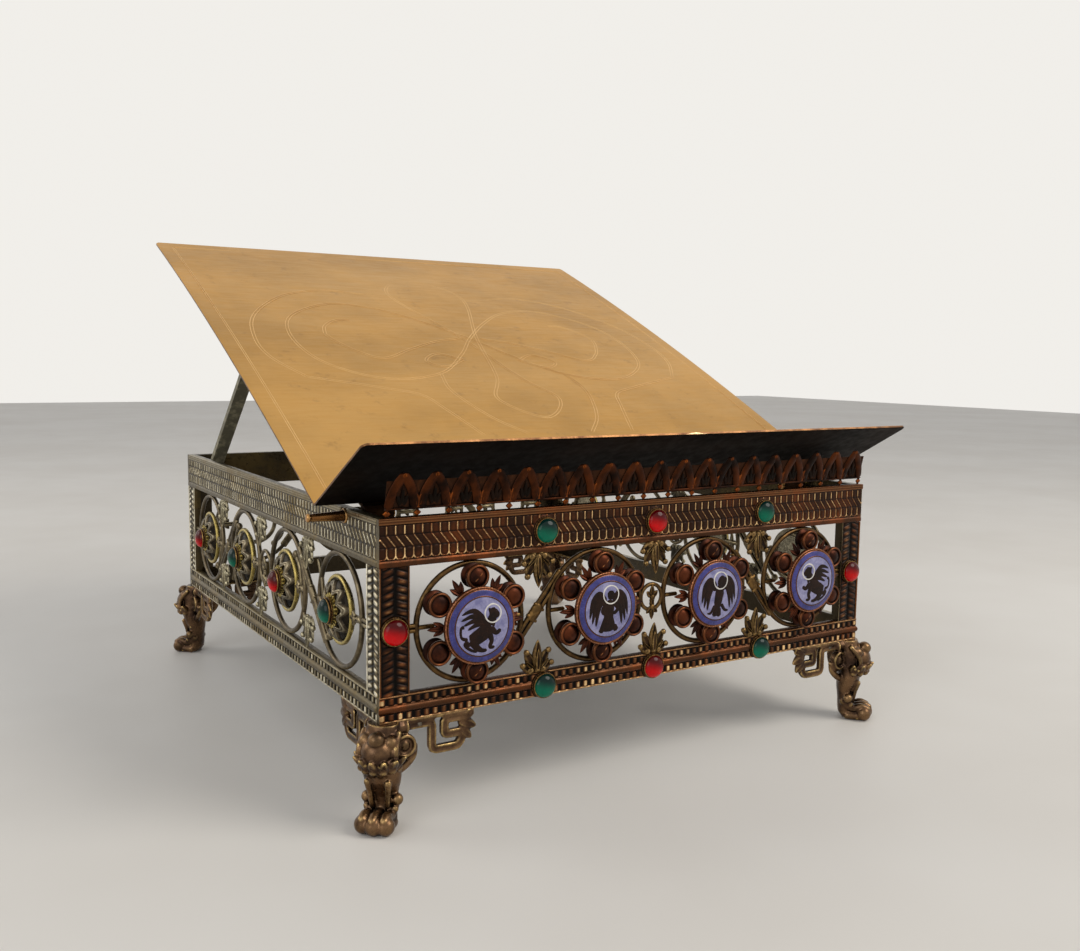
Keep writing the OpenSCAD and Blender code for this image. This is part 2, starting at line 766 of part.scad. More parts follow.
module hinge_bracket_left() color(cast_brass) placed() hinge_bracket(-1);
module hinge_bracket_right() color(cast_brass) placed() hinge_bracket(1);

module bracket_screws() color(dark_iron) placed()
    for (m = [-1, 1], k = [-1, 1])
        translate([m * bracket_x, rod_y + k * bracket_screw,
            rod_z - bracket_low]) rotate([0, 90 * m, 0]) union() {
                cylinder(h = bracket_t + 2.8, d = 2);
                translate([0, 0, -1.2]) cylinder(h = 1.2, d = 3.6);
            }

// Desk. Profiles are drawn in (s, n): s up the slope from the rod centre, n
// square to it, and carried across the width.

module desk_across(x0, len)
    translate([x0, rod_y, rod_z]) rotate([desk_angle, 0, 0])
        rotate([90, 0, 90]) linear_extrude(height = len) children();

module bow_disc(extra)
    translate([bow_cs, bow_cn]) circle(r = bow_r + extra, $fn = 1440);

// The round fold, a hair thinner than the flat parts that it joins
module fold_bend() {
    far = bend_out / sin(bend_half);
    half_turn = 90 - bend_half + 5;
    edge = 2 * far * [-cos(half_turn), sin(half_turn)];
    translate([fold_s, sheet_off]) rotate(bow_slope + bend_half)
        translate([far, 0]) intersection() {
            ring(bend_out - fold_ease, sheet_t - 2 * fold_ease);
            polygon([[0, 0], edge, [-2 * far, 0], [edge[0], -edge[1]]]);
        }
}

module sheet_profile() union() {
    intersection() {
        difference() {
            bow_disc(sheet_t);
            bow_disc(0);
        }
        translate([fold_s + bend_start, -desk_len])
            square([desk_len - bend_start, 2 * desk_len]);
    }
    translate([fold_s, sheet_off]) rotate(open_angle)
        translate([bend_start, -sheet_t])
            square([ledge_len - bend_start, sheet_t]);
    fold_bend();
}

// Rectangle with round corners, centred
module rounded(w, d, r) union() {
    square([w - 2 * r, d], center = true);
    square([w, d - 2 * r], center = true);
    for (mx = [-1, 1], my = [-1, 1])
        translate([mx * (w / 2 - r), my * (d / 2 - r)]) circle(r = r);
}

module book_plate() color(gold_sheet) placed() intersection() {
    desk_across(-desk_w / 2 - 5, desk_w + 10) sheet_profile();
    translate([0, (y_front + y_back) / 2, 0]) linear_extrude(height = big)
        rounded(desk_w, y_back - y_front + 1, corner_r);
}

leaf_top = 1.6;
module knuckle(x) difference() {
    desk_across(x - knuckle_len / 2, knuckle_len) union() {
        circle(r = knuckle_r);
        intersection() {
            difference() {
                bow_disc(-run_gap);
                bow_disc(-leaf_top);
            }
            translate([fold_s, -knuckle_leaf])
                square([knuckle_leaf, 3 * knuckle_leaf]);
        }
    }
    rod_hole();
}

module knuckles() color(cast_brass) placed()
    for (m = [-1, 1])
        knuckle(m * (bracket_x - knuckle_gap - knuckle_len / 2));

// Racks: long bars under the sheet, with shallow notches for the cross bar

rack_from = fold_s + rack_start;
rack_to = seat_s + rack_beyond;
module rack(m) difference() {
    desk_across(m * rack_x - rack_w / 2, rack_w) difference() {
        intersection() {
            difference() {
                bow_disc(0);
                bow_disc(-rack_h);
            }
            translate([rack_from, -desk_len])
                square([rack_to - rack_from, 2 * desk_len]);
        }
        for (k = [-6:3]) {
            s = seat_s + k * notch_step;
            translate([s, under(s) - rack_h - notch_r + notch_depth])
                circle(r = notch_r);
        }
    }
}

module rack_left() color(cast_brass) placed() rack(-1);
module rack_right() color(cast_brass) placed() rack(1);

// Prop: two flat arms on pivots inside the side rails, and a cross bar

module prop_arm(m) difference() {
    translate([m * (arm_x - arm_w / 2) - arm_w / 2, pivot_y, pivot_z])
        rotate([arm_angle, 0, 0]) rotate([90, 0, 90])
            linear_extrude(height = arm_w) union() {
                circle(r = pivot_eye_r);
                translate([0, -arm_t / 2]) square([arm_len, arm_t]);
                translate([arm_len, 0]) circle(r = top_eye_r);
            }
    translate([-big / 2, bar_y, bar_z]) rotate([0, 90, 0])
        cylinder(h = big, r = bar_r + run_gap / 2);
    translate([-big / 2, pivot_y, pivot_z]) rotate([0, 90, 0])
        cylinder(h = big, d = pivot_d + 2 * run_gap);
}

module prop_arm_left() color(cast_brass) placed() prop_arm(-1);
module prop_arm_right() color(cast_brass) placed() prop_arm(1);

module prop_crossbar() color(cast_brass) placed()
    translate([-arm_x, bar_y, bar_z]) rotate([0, 90, 0])
        cylinder(h = 2 * arm_x, r = bar_r);

module prop_pivots() color(dark_iron) placed()
    for (m = [-1, 1])
        translate([m * (arm_x - arm_w - 0.4), pivot_y, pivot_z])
            rotate([0, 90 * m, 0]) union() {
                cylinder(h = arm_w + 0.4 + arm_gap + 2.8, d = pivot_d);
                translate([0, 0, -1.6]) cylinder(h = 1.6, d = pivot_d + 4);
            }

rail_top_front();
rail_top_back();
rail_top_left();
rail_top_right();
rail_bottom_front();
rail_bottom_back();
rail_bottom_left();
rail_bottom_right();
post_front_left();
post_front_right();
post_back_left();
post_back_right();
scroll_front();
scroll_back();
scroll_left();
scroll_right();
leaves_front();
leaves_left();
leaves_right();
petal_discs();
medallion_bezels();
medallion_1();
medallion_2();
medallion_3();
medallion_4();
bosses_left();
bosses_right();
collets_front();
collets_sides();
stones_red_front();
stones_green_front();
stones_red_sides();
stones_green_sides();
crest();
foot_front_left();
foot_front_right();
foot_back_left();
foot_back_right();
foot_screws();
hinge_rod();
hinge_bracket_left();
hinge_bracket_right();
bracket_screws();
book_plate();
knuckles();
rack_left();
rack_right();
prop_arm_left();
prop_arm_right();
prop_crossbar();
prop_pivots();
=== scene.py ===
"""Builds the looks of a brass table-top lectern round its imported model.

Every length in the shape code is in millimetres, in the frame's own axes.
"""

import math
import random

import bpy
import numpy as np
from bpy.props import FloatProperty, FloatVectorProperty, IntProperty, PointerProperty
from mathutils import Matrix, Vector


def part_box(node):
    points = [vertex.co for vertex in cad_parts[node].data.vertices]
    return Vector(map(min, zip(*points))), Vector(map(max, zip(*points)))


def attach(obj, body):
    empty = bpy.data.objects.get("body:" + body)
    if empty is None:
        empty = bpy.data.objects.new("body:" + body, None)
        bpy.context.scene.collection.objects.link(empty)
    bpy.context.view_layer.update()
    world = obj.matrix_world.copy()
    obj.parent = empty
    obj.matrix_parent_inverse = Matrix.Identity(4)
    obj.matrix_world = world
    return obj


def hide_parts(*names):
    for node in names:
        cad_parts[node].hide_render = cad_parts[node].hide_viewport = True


bl_info = {
    "name": "Table-Top Lectern",
    "version": (1, 0, 0),
    "blender": (4, 5, 0),
    "location": "View3D > Sidebar > Lectern",
    "description": "Builds the cast, worked and enamelled pieces of a brass lectern",
    "category": "Add Mesh",
}

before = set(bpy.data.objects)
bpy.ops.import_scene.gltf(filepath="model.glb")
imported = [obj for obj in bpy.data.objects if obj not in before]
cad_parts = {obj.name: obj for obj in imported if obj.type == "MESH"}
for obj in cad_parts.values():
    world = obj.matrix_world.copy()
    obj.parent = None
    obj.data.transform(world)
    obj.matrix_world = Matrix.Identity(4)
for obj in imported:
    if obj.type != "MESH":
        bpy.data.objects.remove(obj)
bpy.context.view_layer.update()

MM = 0.001
SIDES = ("front", "right", "back", "left")


def box_mm(node):
    """Lowest and highest corner of a CAD node, in millimetres."""
    low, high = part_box(node)
    return np.array(low) / MM, np.array(high) / MM


TOP_LOW, TOP_HIGH = box_mm("rail_top_left")
LOW_LOW, LOW_HIGH = box_mm("rail_bottom_left")
FRONT_Y = box_mm("rail_top_front")[0][1]
BACK_Y = TOP_HIGH[1]
HALF_W = -TOP_LOW[0]
FRAME_TOP = TOP_HIGH[2]
FOOT_H = LOW_LOW[2]
WINDOW_LOW = LOW_HIGH[2]
WINDOW_TOP = TOP_LOW[2]
WINDOW_MID = (WINDOW_LOW + WINDOW_TOP) / 2
MID_Y = (FRONT_Y + BACK_Y) / 2
HALF_D = (BACK_Y - FRONT_Y) / 2
ROD_LOW, ROD_HIGH = box_mm("hinge_rod")
HINGE_Y = (ROD_LOW[1] + ROD_HIGH[1]) / 2
HINGE_Z = (ROD_LOW[2] + ROD_HIGH[2]) / 2

# Places along the outward axis of a side, from its outer face
FIELD = -0.8
SCROLL_FACE = -1.2
STONE_SEAT = -0.2
BOSS_SEAT = -2.6

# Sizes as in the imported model: thicknesses, heights, pitches and radii
RAIL_T = 5.0
POST_W = 15.0
PETAL_H = 7.0
BOSS_H = 6.0
FRONT_PITCH = 69.4
SIDE_PITCH = 75.5
RING_MID = 27.1

# Radius of the bare place under a collet
CLEAR_R = 6.7

# Pitch of the flutes and barrels on the rails
FLUTE = 4.3


# Placing and joining shapes


def basis(u, v, w, origin):
    """4 by 4 matrix of a local frame whose axes and origin are given."""
    m = np.eye(4)
    m[:3, 0] = u
    m[:3, 1] = v
    m[:3, 2] = w
    m[:3, 3] = origin
    return m


def half_sizes(side):
    """Half of a side's length, and the distance of its face from the middle."""
    return (HALF_W, HALF_D) if side in ("front", "back") else (HALF_D, HALF_W)


def side_frame(side, x=0.0, z=0.0, w=0.0):
    """Frame on an outer face: u runs right as it is looked at, v up and w out."""
    angle = math.radians(90) * SIDES.index(side)
    turn = np.array([math.cos(angle), math.sin(angle), 0.0])
    out = np.array([math.sin(angle), -math.cos(angle), 0.0])
    origin = np.array([0.0, MID_Y, 0.0]) + out * (half_sizes(side)[1] + w) + turn * x
    origin[2] = z
    return basis(turn, (0, 0, 1), out, origin)


def shift(x=0.0, y=0.0, z=0.0):
    """Move along the local axes."""
    return basis((1, 0, 0), (0, 1, 0), (0, 0, 1), (x, y, z))


def spin(degrees, axis="z"):
    """Turn about one of the local axes."""
    c = math.cos(math.radians(degrees))
    s = math.sin(math.radians(degrees))
    m = np.eye(4)
    i, j = {"x": (1, 2), "y": (2, 0), "z": (0, 1)}[axis]
    m[i, i] = m[j, j] = c
    m[i, j] = -s
    m[j, i] = s
    return m


def upside_down():
    """Mirror that turns v about."""
    return np.diag([1.0, -1.0, 1.0, 1.0])


class Shape:
    """Points and faces that are gathered, then made into one piece."""

    def __init__(self):
        self.points = []
        self.faces = []
        self.slots = []
        self.tones = []
        self.count = 0

    def add(self, part, place=None, slot=0, tone=None):
        """Takes in points, faces and perhaps slots, put at a place."""
        points, faces = part[0], part[1]
        points = np.asarray(points, float).reshape(-1, 3)
        turned = False
        if place is not None:
            points = points @ place[:3, :3].T + place[:3, 3]
            turned = np.linalg.det(place[:3, :3]) < 0
        start = self.count
        slots = part[2] if len(part) > 2 else [slot] * len(faces)
        for face in faces:
            ids = [start + int(i) for i in face]
            self.faces.append(ids[::-1] if turned else ids)
        self.slots.extend(slots)
        self.points.append(points)
        self.tones.append(np.full(len(points), 0.5) if tone is None else np.asarray(tone))
        self.count += len(points)
        return self

    def join(self, other, place=None):
        """Takes in all of another shape, put at a place."""
        tone = np.concatenate(other.tones)
        self.add((np.concatenate(other.points), other.faces, other.slots), place, tone=tone)
        return self

    def piece(self, name, materials, sharp=40.0):
        """The mesh object, in metres, shaded smooth but for its sharp edges."""
        mesh = bpy.data.meshes.new(name)
        points = np.concatenate(self.points) * MM
        mesh.from_pydata(points.tolist(), [], self.faces)
        for material in materials:
            mesh.materials.append(material)
        if len(materials) > 1:
            mesh.polygons.foreach_set("material_index", self.slots)
        tone = mesh.attributes.new("tone", "FLOAT", "POINT")
        tone.data.foreach_set("value", np.concatenate(self.tones))
        mesh.shade_smooth()
        mesh.set_sharp_from_angle(angle=math.radians(sharp))
        made = bpy.data.objects.new(name, mesh)
        bpy.context.scene.collection.objects.link(made)
        return made


def around(count):
    """Angles evenly spaced round a circle."""
    return [2 * math.pi * k / count for k in range(count)]


def grid_faces(rows, columns, close_rows=False, close_columns=False):
    """Quads over points laid out row by row, facing row-cross-column."""
    faces = []
    for r in range(rows if close_rows else rows - 1):
        here = r * columns
        above = (r + 1) % rows * columns
        for c in range(columns if close_columns else columns - 1):
            beside = (c + 1) % columns
            faces.append((here + c, here + beside, above + beside, above + c))
    return faces


def cap_faces(rows, columns):
    """The two faces that close the ends of a grid whose columns run round."""
    last = (rows - 1) * columns
    return [list(range(columns))[::-1], list(range(last, last + columns))]


def directions(path, closed=False):
    """Unit direction of a path at each of its points."""
    if closed:
        along = np.roll(path, -1, 0) - np.roll(path, 1, 0)
    else:
        along = np.gradient(path, axis=0)
    return along / np.maximum(np.linalg.norm(along, axis=1), 1e-9)[:, None]


def to_the_right(along):
    """Unit directions square to those of a flat path."""
    return np.stack([along[:, 1], -along[:, 0]], 1)


def lathe(profile, sides=48, ripple=None, slots=None):
    """Solid of revolution about w from (radius, height) points, base first."""
    points = []
    rings = []
    for radius, height in profile:
        if radius < 1e-6:
            rings.append([len(points)] * sides)
            points.append((0.0, 0.0, height))
            continue
        ring = []
        for angle in around(sides):
            r, h = ripple(radius, height, angle) if ripple else (radius, height)
            ring.append(len(points))
            points.append((r * math.cos(angle), r * math.sin(angle), h))
        rings.append(ring)
    faces = []
    marks = []
    for n, (low, high) in enumerate(zip(rings[:-1], rings[1:])):
        for k in range(sides):
            j = (k + 1) % sides
            ids = [low[k], low[j], high[j], high[k]]
            faces.append([v for i, v in enumerate(ids) if v not in ids[:i]])
            marks.append(slots[n] if slots else 0)
    for ring, last in ((rings[0], False), (rings[-1], True)):
        if ring[0] != ring[1]:
            faces.append(ring if last else ring[::-1])
            marks.append(slots[-1 if last else 0] if slots else 0)
    return points, faces, marks


def ball(radius, squash=1.0, sides=20, rows=10):
    """Round bead about the origin, flattened along w."""
    profile = [
        (radius * math.sin(math.pi * i / rows), -radius * squash * math.cos(math.pi * i / rows))
        for i in range(rows + 1)
    ]
    profile[0] = (0.0, -radius * squash)
    profile[-1] = (0.0, radius * squash)
    return lathe(profile, sides)


def tube(path, radius, sides=12, closed=False, up=(0, 0, 1), flat=1.0):
    """Round bar with round ends along a path. Radius is one number, or one for each point."""
    path = np.asarray(path, float)
    radius = np.broadcast_to(np.asarray(radius, float), (len(path),)).copy()
    along = directions(path, closed)
    if not closed:
        steps = [0.999, 0.87, 0.5]
        head = [path[0] - along[0] * radius[0] * a * flat for a in steps]
        tail = [path[-1] + along[-1] * radius[-1] * a * flat for a in reversed(steps)]
        grow = [math.sqrt(1 - a * a) for a in steps]
        path = np.vstack([head, path, tail])
        along = np.vstack([[along[0]] * 3, along, [along[-1]] * 3])
        radius = np.concatenate(
            [radius[0] * np.array(grow), radius, radius[-1] * np.array(grow[::-1])]
        )
    across = np.cross(np.asarray(up, float), along)
    across /= np.linalg.norm(across, axis=1)[:, None]
    lift = np.cross(along, across)
    turns = np.array(around(sides))
    ring = (
        across[:, None, :] * np.cos(turns)[None, :, None]
        + flat * lift[:, None, :] * np.sin(turns)[None, :, None]
    )
    points = path[:, None, :] + ring * radius[:, None, None]
    faces = grid_faces(len(path), sides, closed, True)
    if not closed:
        faces += cap_faces(len(path), sides)
    return points.reshape(-1, 3), faces


def arc(radius, start, end, steps=24, x=0.0, y=0.0, w=0.0):
    """Points on a circle in the u, v plane, angles in degrees."""
    turns = np.radians(np.linspace(start, end, steps))
    return np.stack(
        [x + radius * np.cos(turns), y + radius * np.sin(turns), np.full(steps, w)], 1
    )


def ring_tube(radius, wire, steps=72, sides=12, x=0.0, y=0.0, w=0.0, flat=1.0):
    """A closed ring of round wire."""
    path = arc(radius, 0, 360, steps + 1, x, y, w)[:-1]
    return tube(path, wire, sides, closed=True, flat=flat)


def curve_through(points, steps=8, closed=False):
    """Smooth curve through given points."""
    points = np.asarray(points, float)
    n = len(points)
    made = []
    for i in range(n if closed else n - 1):
        if closed:
            a, b, c, d = (points[(i + k) % n] for k in (-1, 0, 1, 2))
        else:
            b, c = points[i], points[i + 1]
            a = points[i - 1] if i else 2 * b - c
            d = points[i + 2] if i + 2 < n else 2 * c - b
        slope = c - a
        bend = 2 * a - 5 * b + 4 * c - d
        twist = 3 * b - a - 3 * c + d
        for t in np.arange(steps) / steps:
            made.append(0.5 * (2 * b + slope * t + bend * t * t + twist * t**3))
    if not closed:
        made.append(points[-1])
    return np.array(made)


def lobe(length, width, height, curl=0.0, rows=16, sides=18, vein=0.35, sink=0.5):
    """Fleshy leaf lobe from the origin along +v, its tip lifted by curl."""
    points = [(0.0, 0.0, 0.0)]
    for i in range(1, rows):
        t = i / rows
        half = width / 2 * math.sin(math.pi * t**0.8) ** 0.75
        thick = height * math.sin(math.pi * t**0.7) ** 0.6
        for angle in around(sides):
            lift = math.sin(angle)
            z = thick * lift if lift > 0 else thick * sink * lift
            if lift > 0:
                z -= vein * thick * math.exp(-((math.cos(angle) / 0.28) ** 2))
            points.append((half * math.cos(angle), length * t, curl * t * t + z))
    points.append((0.0, length, curl))
    beside = [(k + 1) % sides for k in range(sides)]
    faces = [(1 + k, 1 + beside[k], 0) for k in range(sides)]
    for r in range(rows - 2):
        start = 1 + r * sides
        for k in range(sides):
            a = start + k
            b = start + beside[k]
            faces.append((a + sides, b + sides, b, a))
    last = 1 + (rows - 2) * sides
    faces += [(len(points) - 1, last + beside[k], last + k) for k in range(sides)]
    return points, faces


def stroke(path, width, height, surface, sink=0.12, sides=10, closed=False):
    """Low rounded ridge drawn on a surface: surface(a, b, h) gives its points."""
    path = np.asarray(path, float)[:, :2]
    width = np.broadcast_to(np.asarray(width, float), (len(path),))
    across = to_the_right(directions(path, closed))
    points = []
    for i, centre in enumerate(path):
        half = width[i] / 2
        if not closed and i in (0, len(path) - 1):
            half *= 0.35
        for angle in around(sides):
            spot = centre + across[i] * half * math.cos(angle)
            lift = math.sin(angle)
            points.append(surface(spot[0], spot[1], (height if lift > 0 else sink) * lift))
    faces = grid_faces(len(path), sides, closed, True)
    if not closed:
        faces += cap_faces(len(path), sides)
    return points, faces


def block(low, high):
    """Box between two corners."""
    x_ends, y_ends, z_ends = zip(low, high)
    points = [(x, y, z) for z in z_ends for y in y_ends for x in x_ends]
    faces = [(0, 2, 3, 1), (4, 5, 7, 6), (0, 1, 5, 4), (2, 6, 7, 3), (0, 4, 6, 2), (1, 3, 7, 5)]
    return points, faces


def loft(sections, sides=44):
    """Solid through ellipses, lowest first: height, reach, half depth and half width."""
    points = []
    for height, reach, depth, width in sections:
        for angle in around(sides):
            points.append((reach + depth * math.cos(angle), width * math.sin(angle), height))
    faces = grid_faces(len(sections), sides, False, True) + cap_faces(len(sections), sides)
    return points, faces


def finish_piece(made, body):
    """Lets a piece move with its body."""
    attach(made, body)
    return made


# Finishes


def linear(colour):
    """A colour written as 0 to 255 in sRGB, as the shader takes it."""
    made = []
    for part in colour:
        c = part / 255
        made.append(c / 12.92 if c <= 0.04045 else ((c + 0.055) / 1.055) ** 2.4)
    return (*made, 1.0)


def srgb(colour):
    """A colour property, which Blender keeps linear, as 0 to 1 in sRGB."""
    return [12.92 * c if c <= 0.0031308 else 1.055 * c ** (1 / 2.4) - 0.055 for c in colour[:3]]


class Nodes:
    """Short names for building a node tree."""

    def __init__(self, name):
        self.material = bpy.data.materials.new(name)
        self.material.use_nodes = True
        self.tree = self.material.node_tree
        self.shader = self.tree.nodes["Principled BSDF"]
        self.coords = self.tree.nodes.new("ShaderNodeTexCoord").outputs["Object"]

    def link(self, output, target):
        self.tree.links.new(output, target)

    def noise(self, scale, detail=4.0, rough=0.55, stretch=None):
        """Cloudy pattern in the object's own metres."""
        node = self.tree.nodes.new("ShaderNodeTexNoise")
        node.inputs["Scale"].default_value = scale
        node.inputs["Detail"].default_value = detail
        node.inputs["Roughness"].default_value = rough
        source = self.coords
        if stretch:
            mapping = self.tree.nodes.new("ShaderNodeMapping")
            mapping.inputs["Scale"].default_value = stretch
            self.link(source, mapping.inputs["Vector"])
            source = mapping.outputs["Vector"]
        self.link(source, node.inputs["Vector"])
        return node.outputs["Fac"]

    def remap(self, value, low, high, out_low=0.0, out_high=1.0):
        """Eases a value from one range into another."""
        node = self.tree.nodes.new("ShaderNodeMapRange")
        node.interpolation_type = "SMOOTHSTEP"
        limits = (("From Min", low), ("From Max", high), ("To Min", out_low), ("To Max", out_high))
        for name, limit in limits:
            node.inputs[name].default_value = limit
        self.link(value, node.inputs["Value"])
        return node.outputs["Result"]

    def feed(self, value, socket):
        """Sets a socket to a number or a colour, or links an output to it."""
        if isinstance(value, (int, float, tuple)):
            socket.default_value = value
        else:
            self.link(value, socket)

    def times(self, a, b):
        node = self.tree.nodes.new("ShaderNodeMath")
        node.operation = "MULTIPLY"
        self.feed(a, node.inputs[0])
        self.feed(b, node.inputs[1])
        return node.outputs["Value"]

    def mix(self, a, b, factor):
        """Goes from colour a to colour b as the factor grows."""
        node = self.tree.nodes.new("ShaderNodeMix")
        node.data_type = "RGBA"
        self.feed(a, node.inputs[6])
        self.feed(b, node.inputs[7])
        self.link(factor, node.inputs[0])
        return node.outputs[2]

    def edges(self, low=0.5, high=0.57):
        """Grows from 0 in hollows to 1 on ridges."""
        node = self.tree.nodes.new("ShaderNodeNewGeometry")
        return self.remap(node.outputs["Pointiness"], low, high)

    def occlusion_shade(self, distance):
        """Ambient occlusion of the piece itself, falling to 0 in its hollows; it paints shade into
        the colour.
        """
        node = self.tree.nodes.new("ShaderNodeAmbientOcclusion")
        node.samples = 6
        node.only_local = True
        node.inputs["Distance"].default_value = distance
        return node.outputs["AO"]

    def tone(self):
        """The tone that the shape gives each point, from 0 in a gap to 1 on a ridge; on the glass,
        and in places elsewhere, it carries painted light.
        """
        node = self.tree.nodes.new("ShaderNodeAttribute")
        node.attribute_type = "GEOMETRY"
        node.attribute_name = "tone"
        return node.outputs["Fac"]

    def bump(self, height, strength, distance):
        node = self.tree.nodes.new("ShaderNodeBump")
        node.inputs["Strength"].default_value = strength
        node.inputs["Distance"].default_value = distance
        self.link(height, node.inputs["Height"])
        self.link(node.outputs["Normal"], self.shader.inputs["Normal"])

    def colour(self, value):
        self.link(value, self.shader.inputs["Base Color"])

    def roughness(self, pattern, low, high, spread=(0.3, 0.7)):
        """Roughness that wanders from low to high with a pattern."""
        self.link(self.remap(pattern, *spread, low, high), self.shader.inputs["Roughness"])

    def set(self, **values):
        """Sets sockets of the shader that stay the same all over."""
        for key, value in values.items():
            self.shader.inputs[key.replace("_", " ")].default_value = value


def aged_brass(
    name, dark, middle, bright, grime_and_shade=(18, 12, 8), patch=60.0, worn=(0.505, 0.56),
    rough=(0.26, 0.5), metallic=0.9, pits=0.25, shade_distance=0.0025, toned=False, shine=0.5,
):
    """Old brass: mottled patina, grime and painted shade in the hollows, metal bare on the ridges.
    """
    n = Nodes(name)
    cloudy = n.remap(n.noise(patch, 5.0, 0.6), 0.36, 0.66)
    base = n.mix(linear(dark), linear(middle), cloudy)
    streaks = n.remap(n.noise(patch * 5, 3.0, 0.6), 0.42, 0.7)
    ridges = n.times(n.edges(*worn), n.remap(streaks, 0.0, 1.0, 0.45, 1.0))
    base = n.mix(base, linear(bright), ridges)
    # With toned, low tones go to the grime colour and high tones to the bright one: worn metal,
    # and the painted highlight on the disc lips.
    if toned:
        base = n.mix(linear(grime_and_shade), base, n.remap(n.tone(), 0.0, 0.45))
        base = n.mix(base, linear(bright), n.times(n.remap(n.tone(), 0.55, 1.0), 0.8))
    # Painted shade: ambient occlusion darkens the hollows to the grime colour.
    shade = n.remap(n.occlusion_shade(shade_distance), 0.35, 0.95)
    base = n.mix(linear(grime_and_shade), base, shade)
    n.colour(base)
    n.roughness(n.noise(patch * 9, 4.0), *rough)
    n.set(Metallic=metallic, Specular_IOR_Level=shine)
    n.bump(n.noise(2600.0, 3.0, 0.7), pits, 0.00012)
    return n.material


def worked_brass(name, gap, field, middle, bright, patch, rough=(0.3, 0.5)):
    """Chased brass: black gaps, dark flutes and pale ridges, by each point's tone. The pale ridges
    are worn metal and painted glints, and ambient occlusion paints shade into the hollows.
    """
    n = Nodes(name)
    tone = n.tone()
    base = n.mix(linear(gap), linear(field), n.remap(tone, 0.02, 0.3))
    base = n.mix(base, linear(middle), n.remap(tone, 0.3, 0.62))
    cloudy = n.times(n.remap(n.noise(36.0, 5.0, 0.62), 0.46, 0.66), 0.75)
    base = n.mix(base, linear(patch), n.times(cloudy, n.remap(tone, 0.1, 0.55)))
    # Pale ridges: worn bare metal and painted glints, in patches.
    wear_and_glint = n.remap(n.noise(150.0, 4.0, 0.65), 0.36, 0.6, 0.35, 1.0)
    base = n.mix(base, linear(bright), n.times(n.remap(tone, 0.54, 0.88), wear_and_glint))
    # Painted shade: ambient occlusion darkens the hollows to the gap colour.
    base = n.mix(linear(gap), base, n.remap(n.occlusion_shade(0.0016), 0.3, 0.8))
    n.colour(base)
    n.roughness(n.noise(420.0, 4.0), *rough)
    n.set(Metallic=0.85)
    n.bump(n.noise(1400.0, 3.0, 0.6), 0.2, 0.0001)
    return n.material


def sheet_metal(name, low, high, spot, bright, rough=(0.36, 0.5)):
    """Satin sheet brass with faint drawn lines, clouds and small stains."""
    n = Nodes(name)
    clouds = n.remap(n.noise(14.0, 6.0, 0.62), 0.32, 0.68)
    base = n.mix(linear(low), linear(high), clouds)
    drift = n.remap(n.noise(5.0, 3.0, 0.5, (1.0, 2.4, 2.4)), 0.4, 0.7)
    base = n.mix(base, linear(bright), n.times(drift, 0.4))
    stains = n.times(n.remap(n.noise(95.0, 5.0, 0.7), 0.56, 0.74), 0.28)
    base = n.mix(base, linear(spot), stains)
    ridges = n.times(n.edges(0.52, 0.6), 0.5)
    base = n.mix(base, linear(bright), ridges)
    n.colour(base)
    drawn = n.noise(420.0, 4.0, 0.7, (0.12, 1.0, 1.0))
    n.roughness(drawn, *rough)
    n.set(Metallic=0.92)
    n.bump(drawn, 0.12, 0.0001)
    return n.material


def enamel(name, base, deep, rough=0.16, grain=0.0, ridge=None, coat=0.2, shine=0.3):
    """Fired enamel: slightly uneven colour under a glassy coat."""
    n = Nodes(name)
    cloudy = n.remap(n.noise(220.0, 4.0, 0.6), 0.35, 0.68)
    colour = n.mix(linear(base), linear(deep), cloudy)
    specks = n.times(n.remap(n.noise(1500.0, 2.0, 0.5), 0.6, 0.72), 0.35)
    colour = n.mix(colour, linear(ridge or deep), specks)
    n.colour(colour)
    n.roughness(n.noise(800.0, 3.0), rough, rough + 0.14)
    n.set(Specular_IOR_Level=shine, Coat_Weight=coat, Coat_Roughness=0.06)
    n.bump(n.noise(600.0, 3.0, 0.5), 0.1 + grain, 0.0001)
    return n.material


def glass(name, painted_lit_colour, deep):
    """Coloured cabochon glass, clear coated, with painted light: dark above and lit below by its
    tone.
    """
    n = Nodes(name)
    cloudy = n.remap(n.noise(260.0, 3.0, 0.5), 0.3, 0.7, 0.8, 1.0)
    # Painted light: the lit colour towards the bottom, the deep colour towards the top, by the
    # tone.
    n.colour(n.mix(linear(deep), linear(painted_lit_colour), n.times(n.remap(n.tone(), 0.1, 0.85), cloudy)))
    n.roughness(n.noise(900.0, 2.0), 0.06, 0.12, (0.35, 0.65))
    n.set(IOR=1.4, Specular_IOR_Level=0.12, Coat_Weight=0.22, Coat_Roughness=0.03)
    return n.material


FINISH = {}


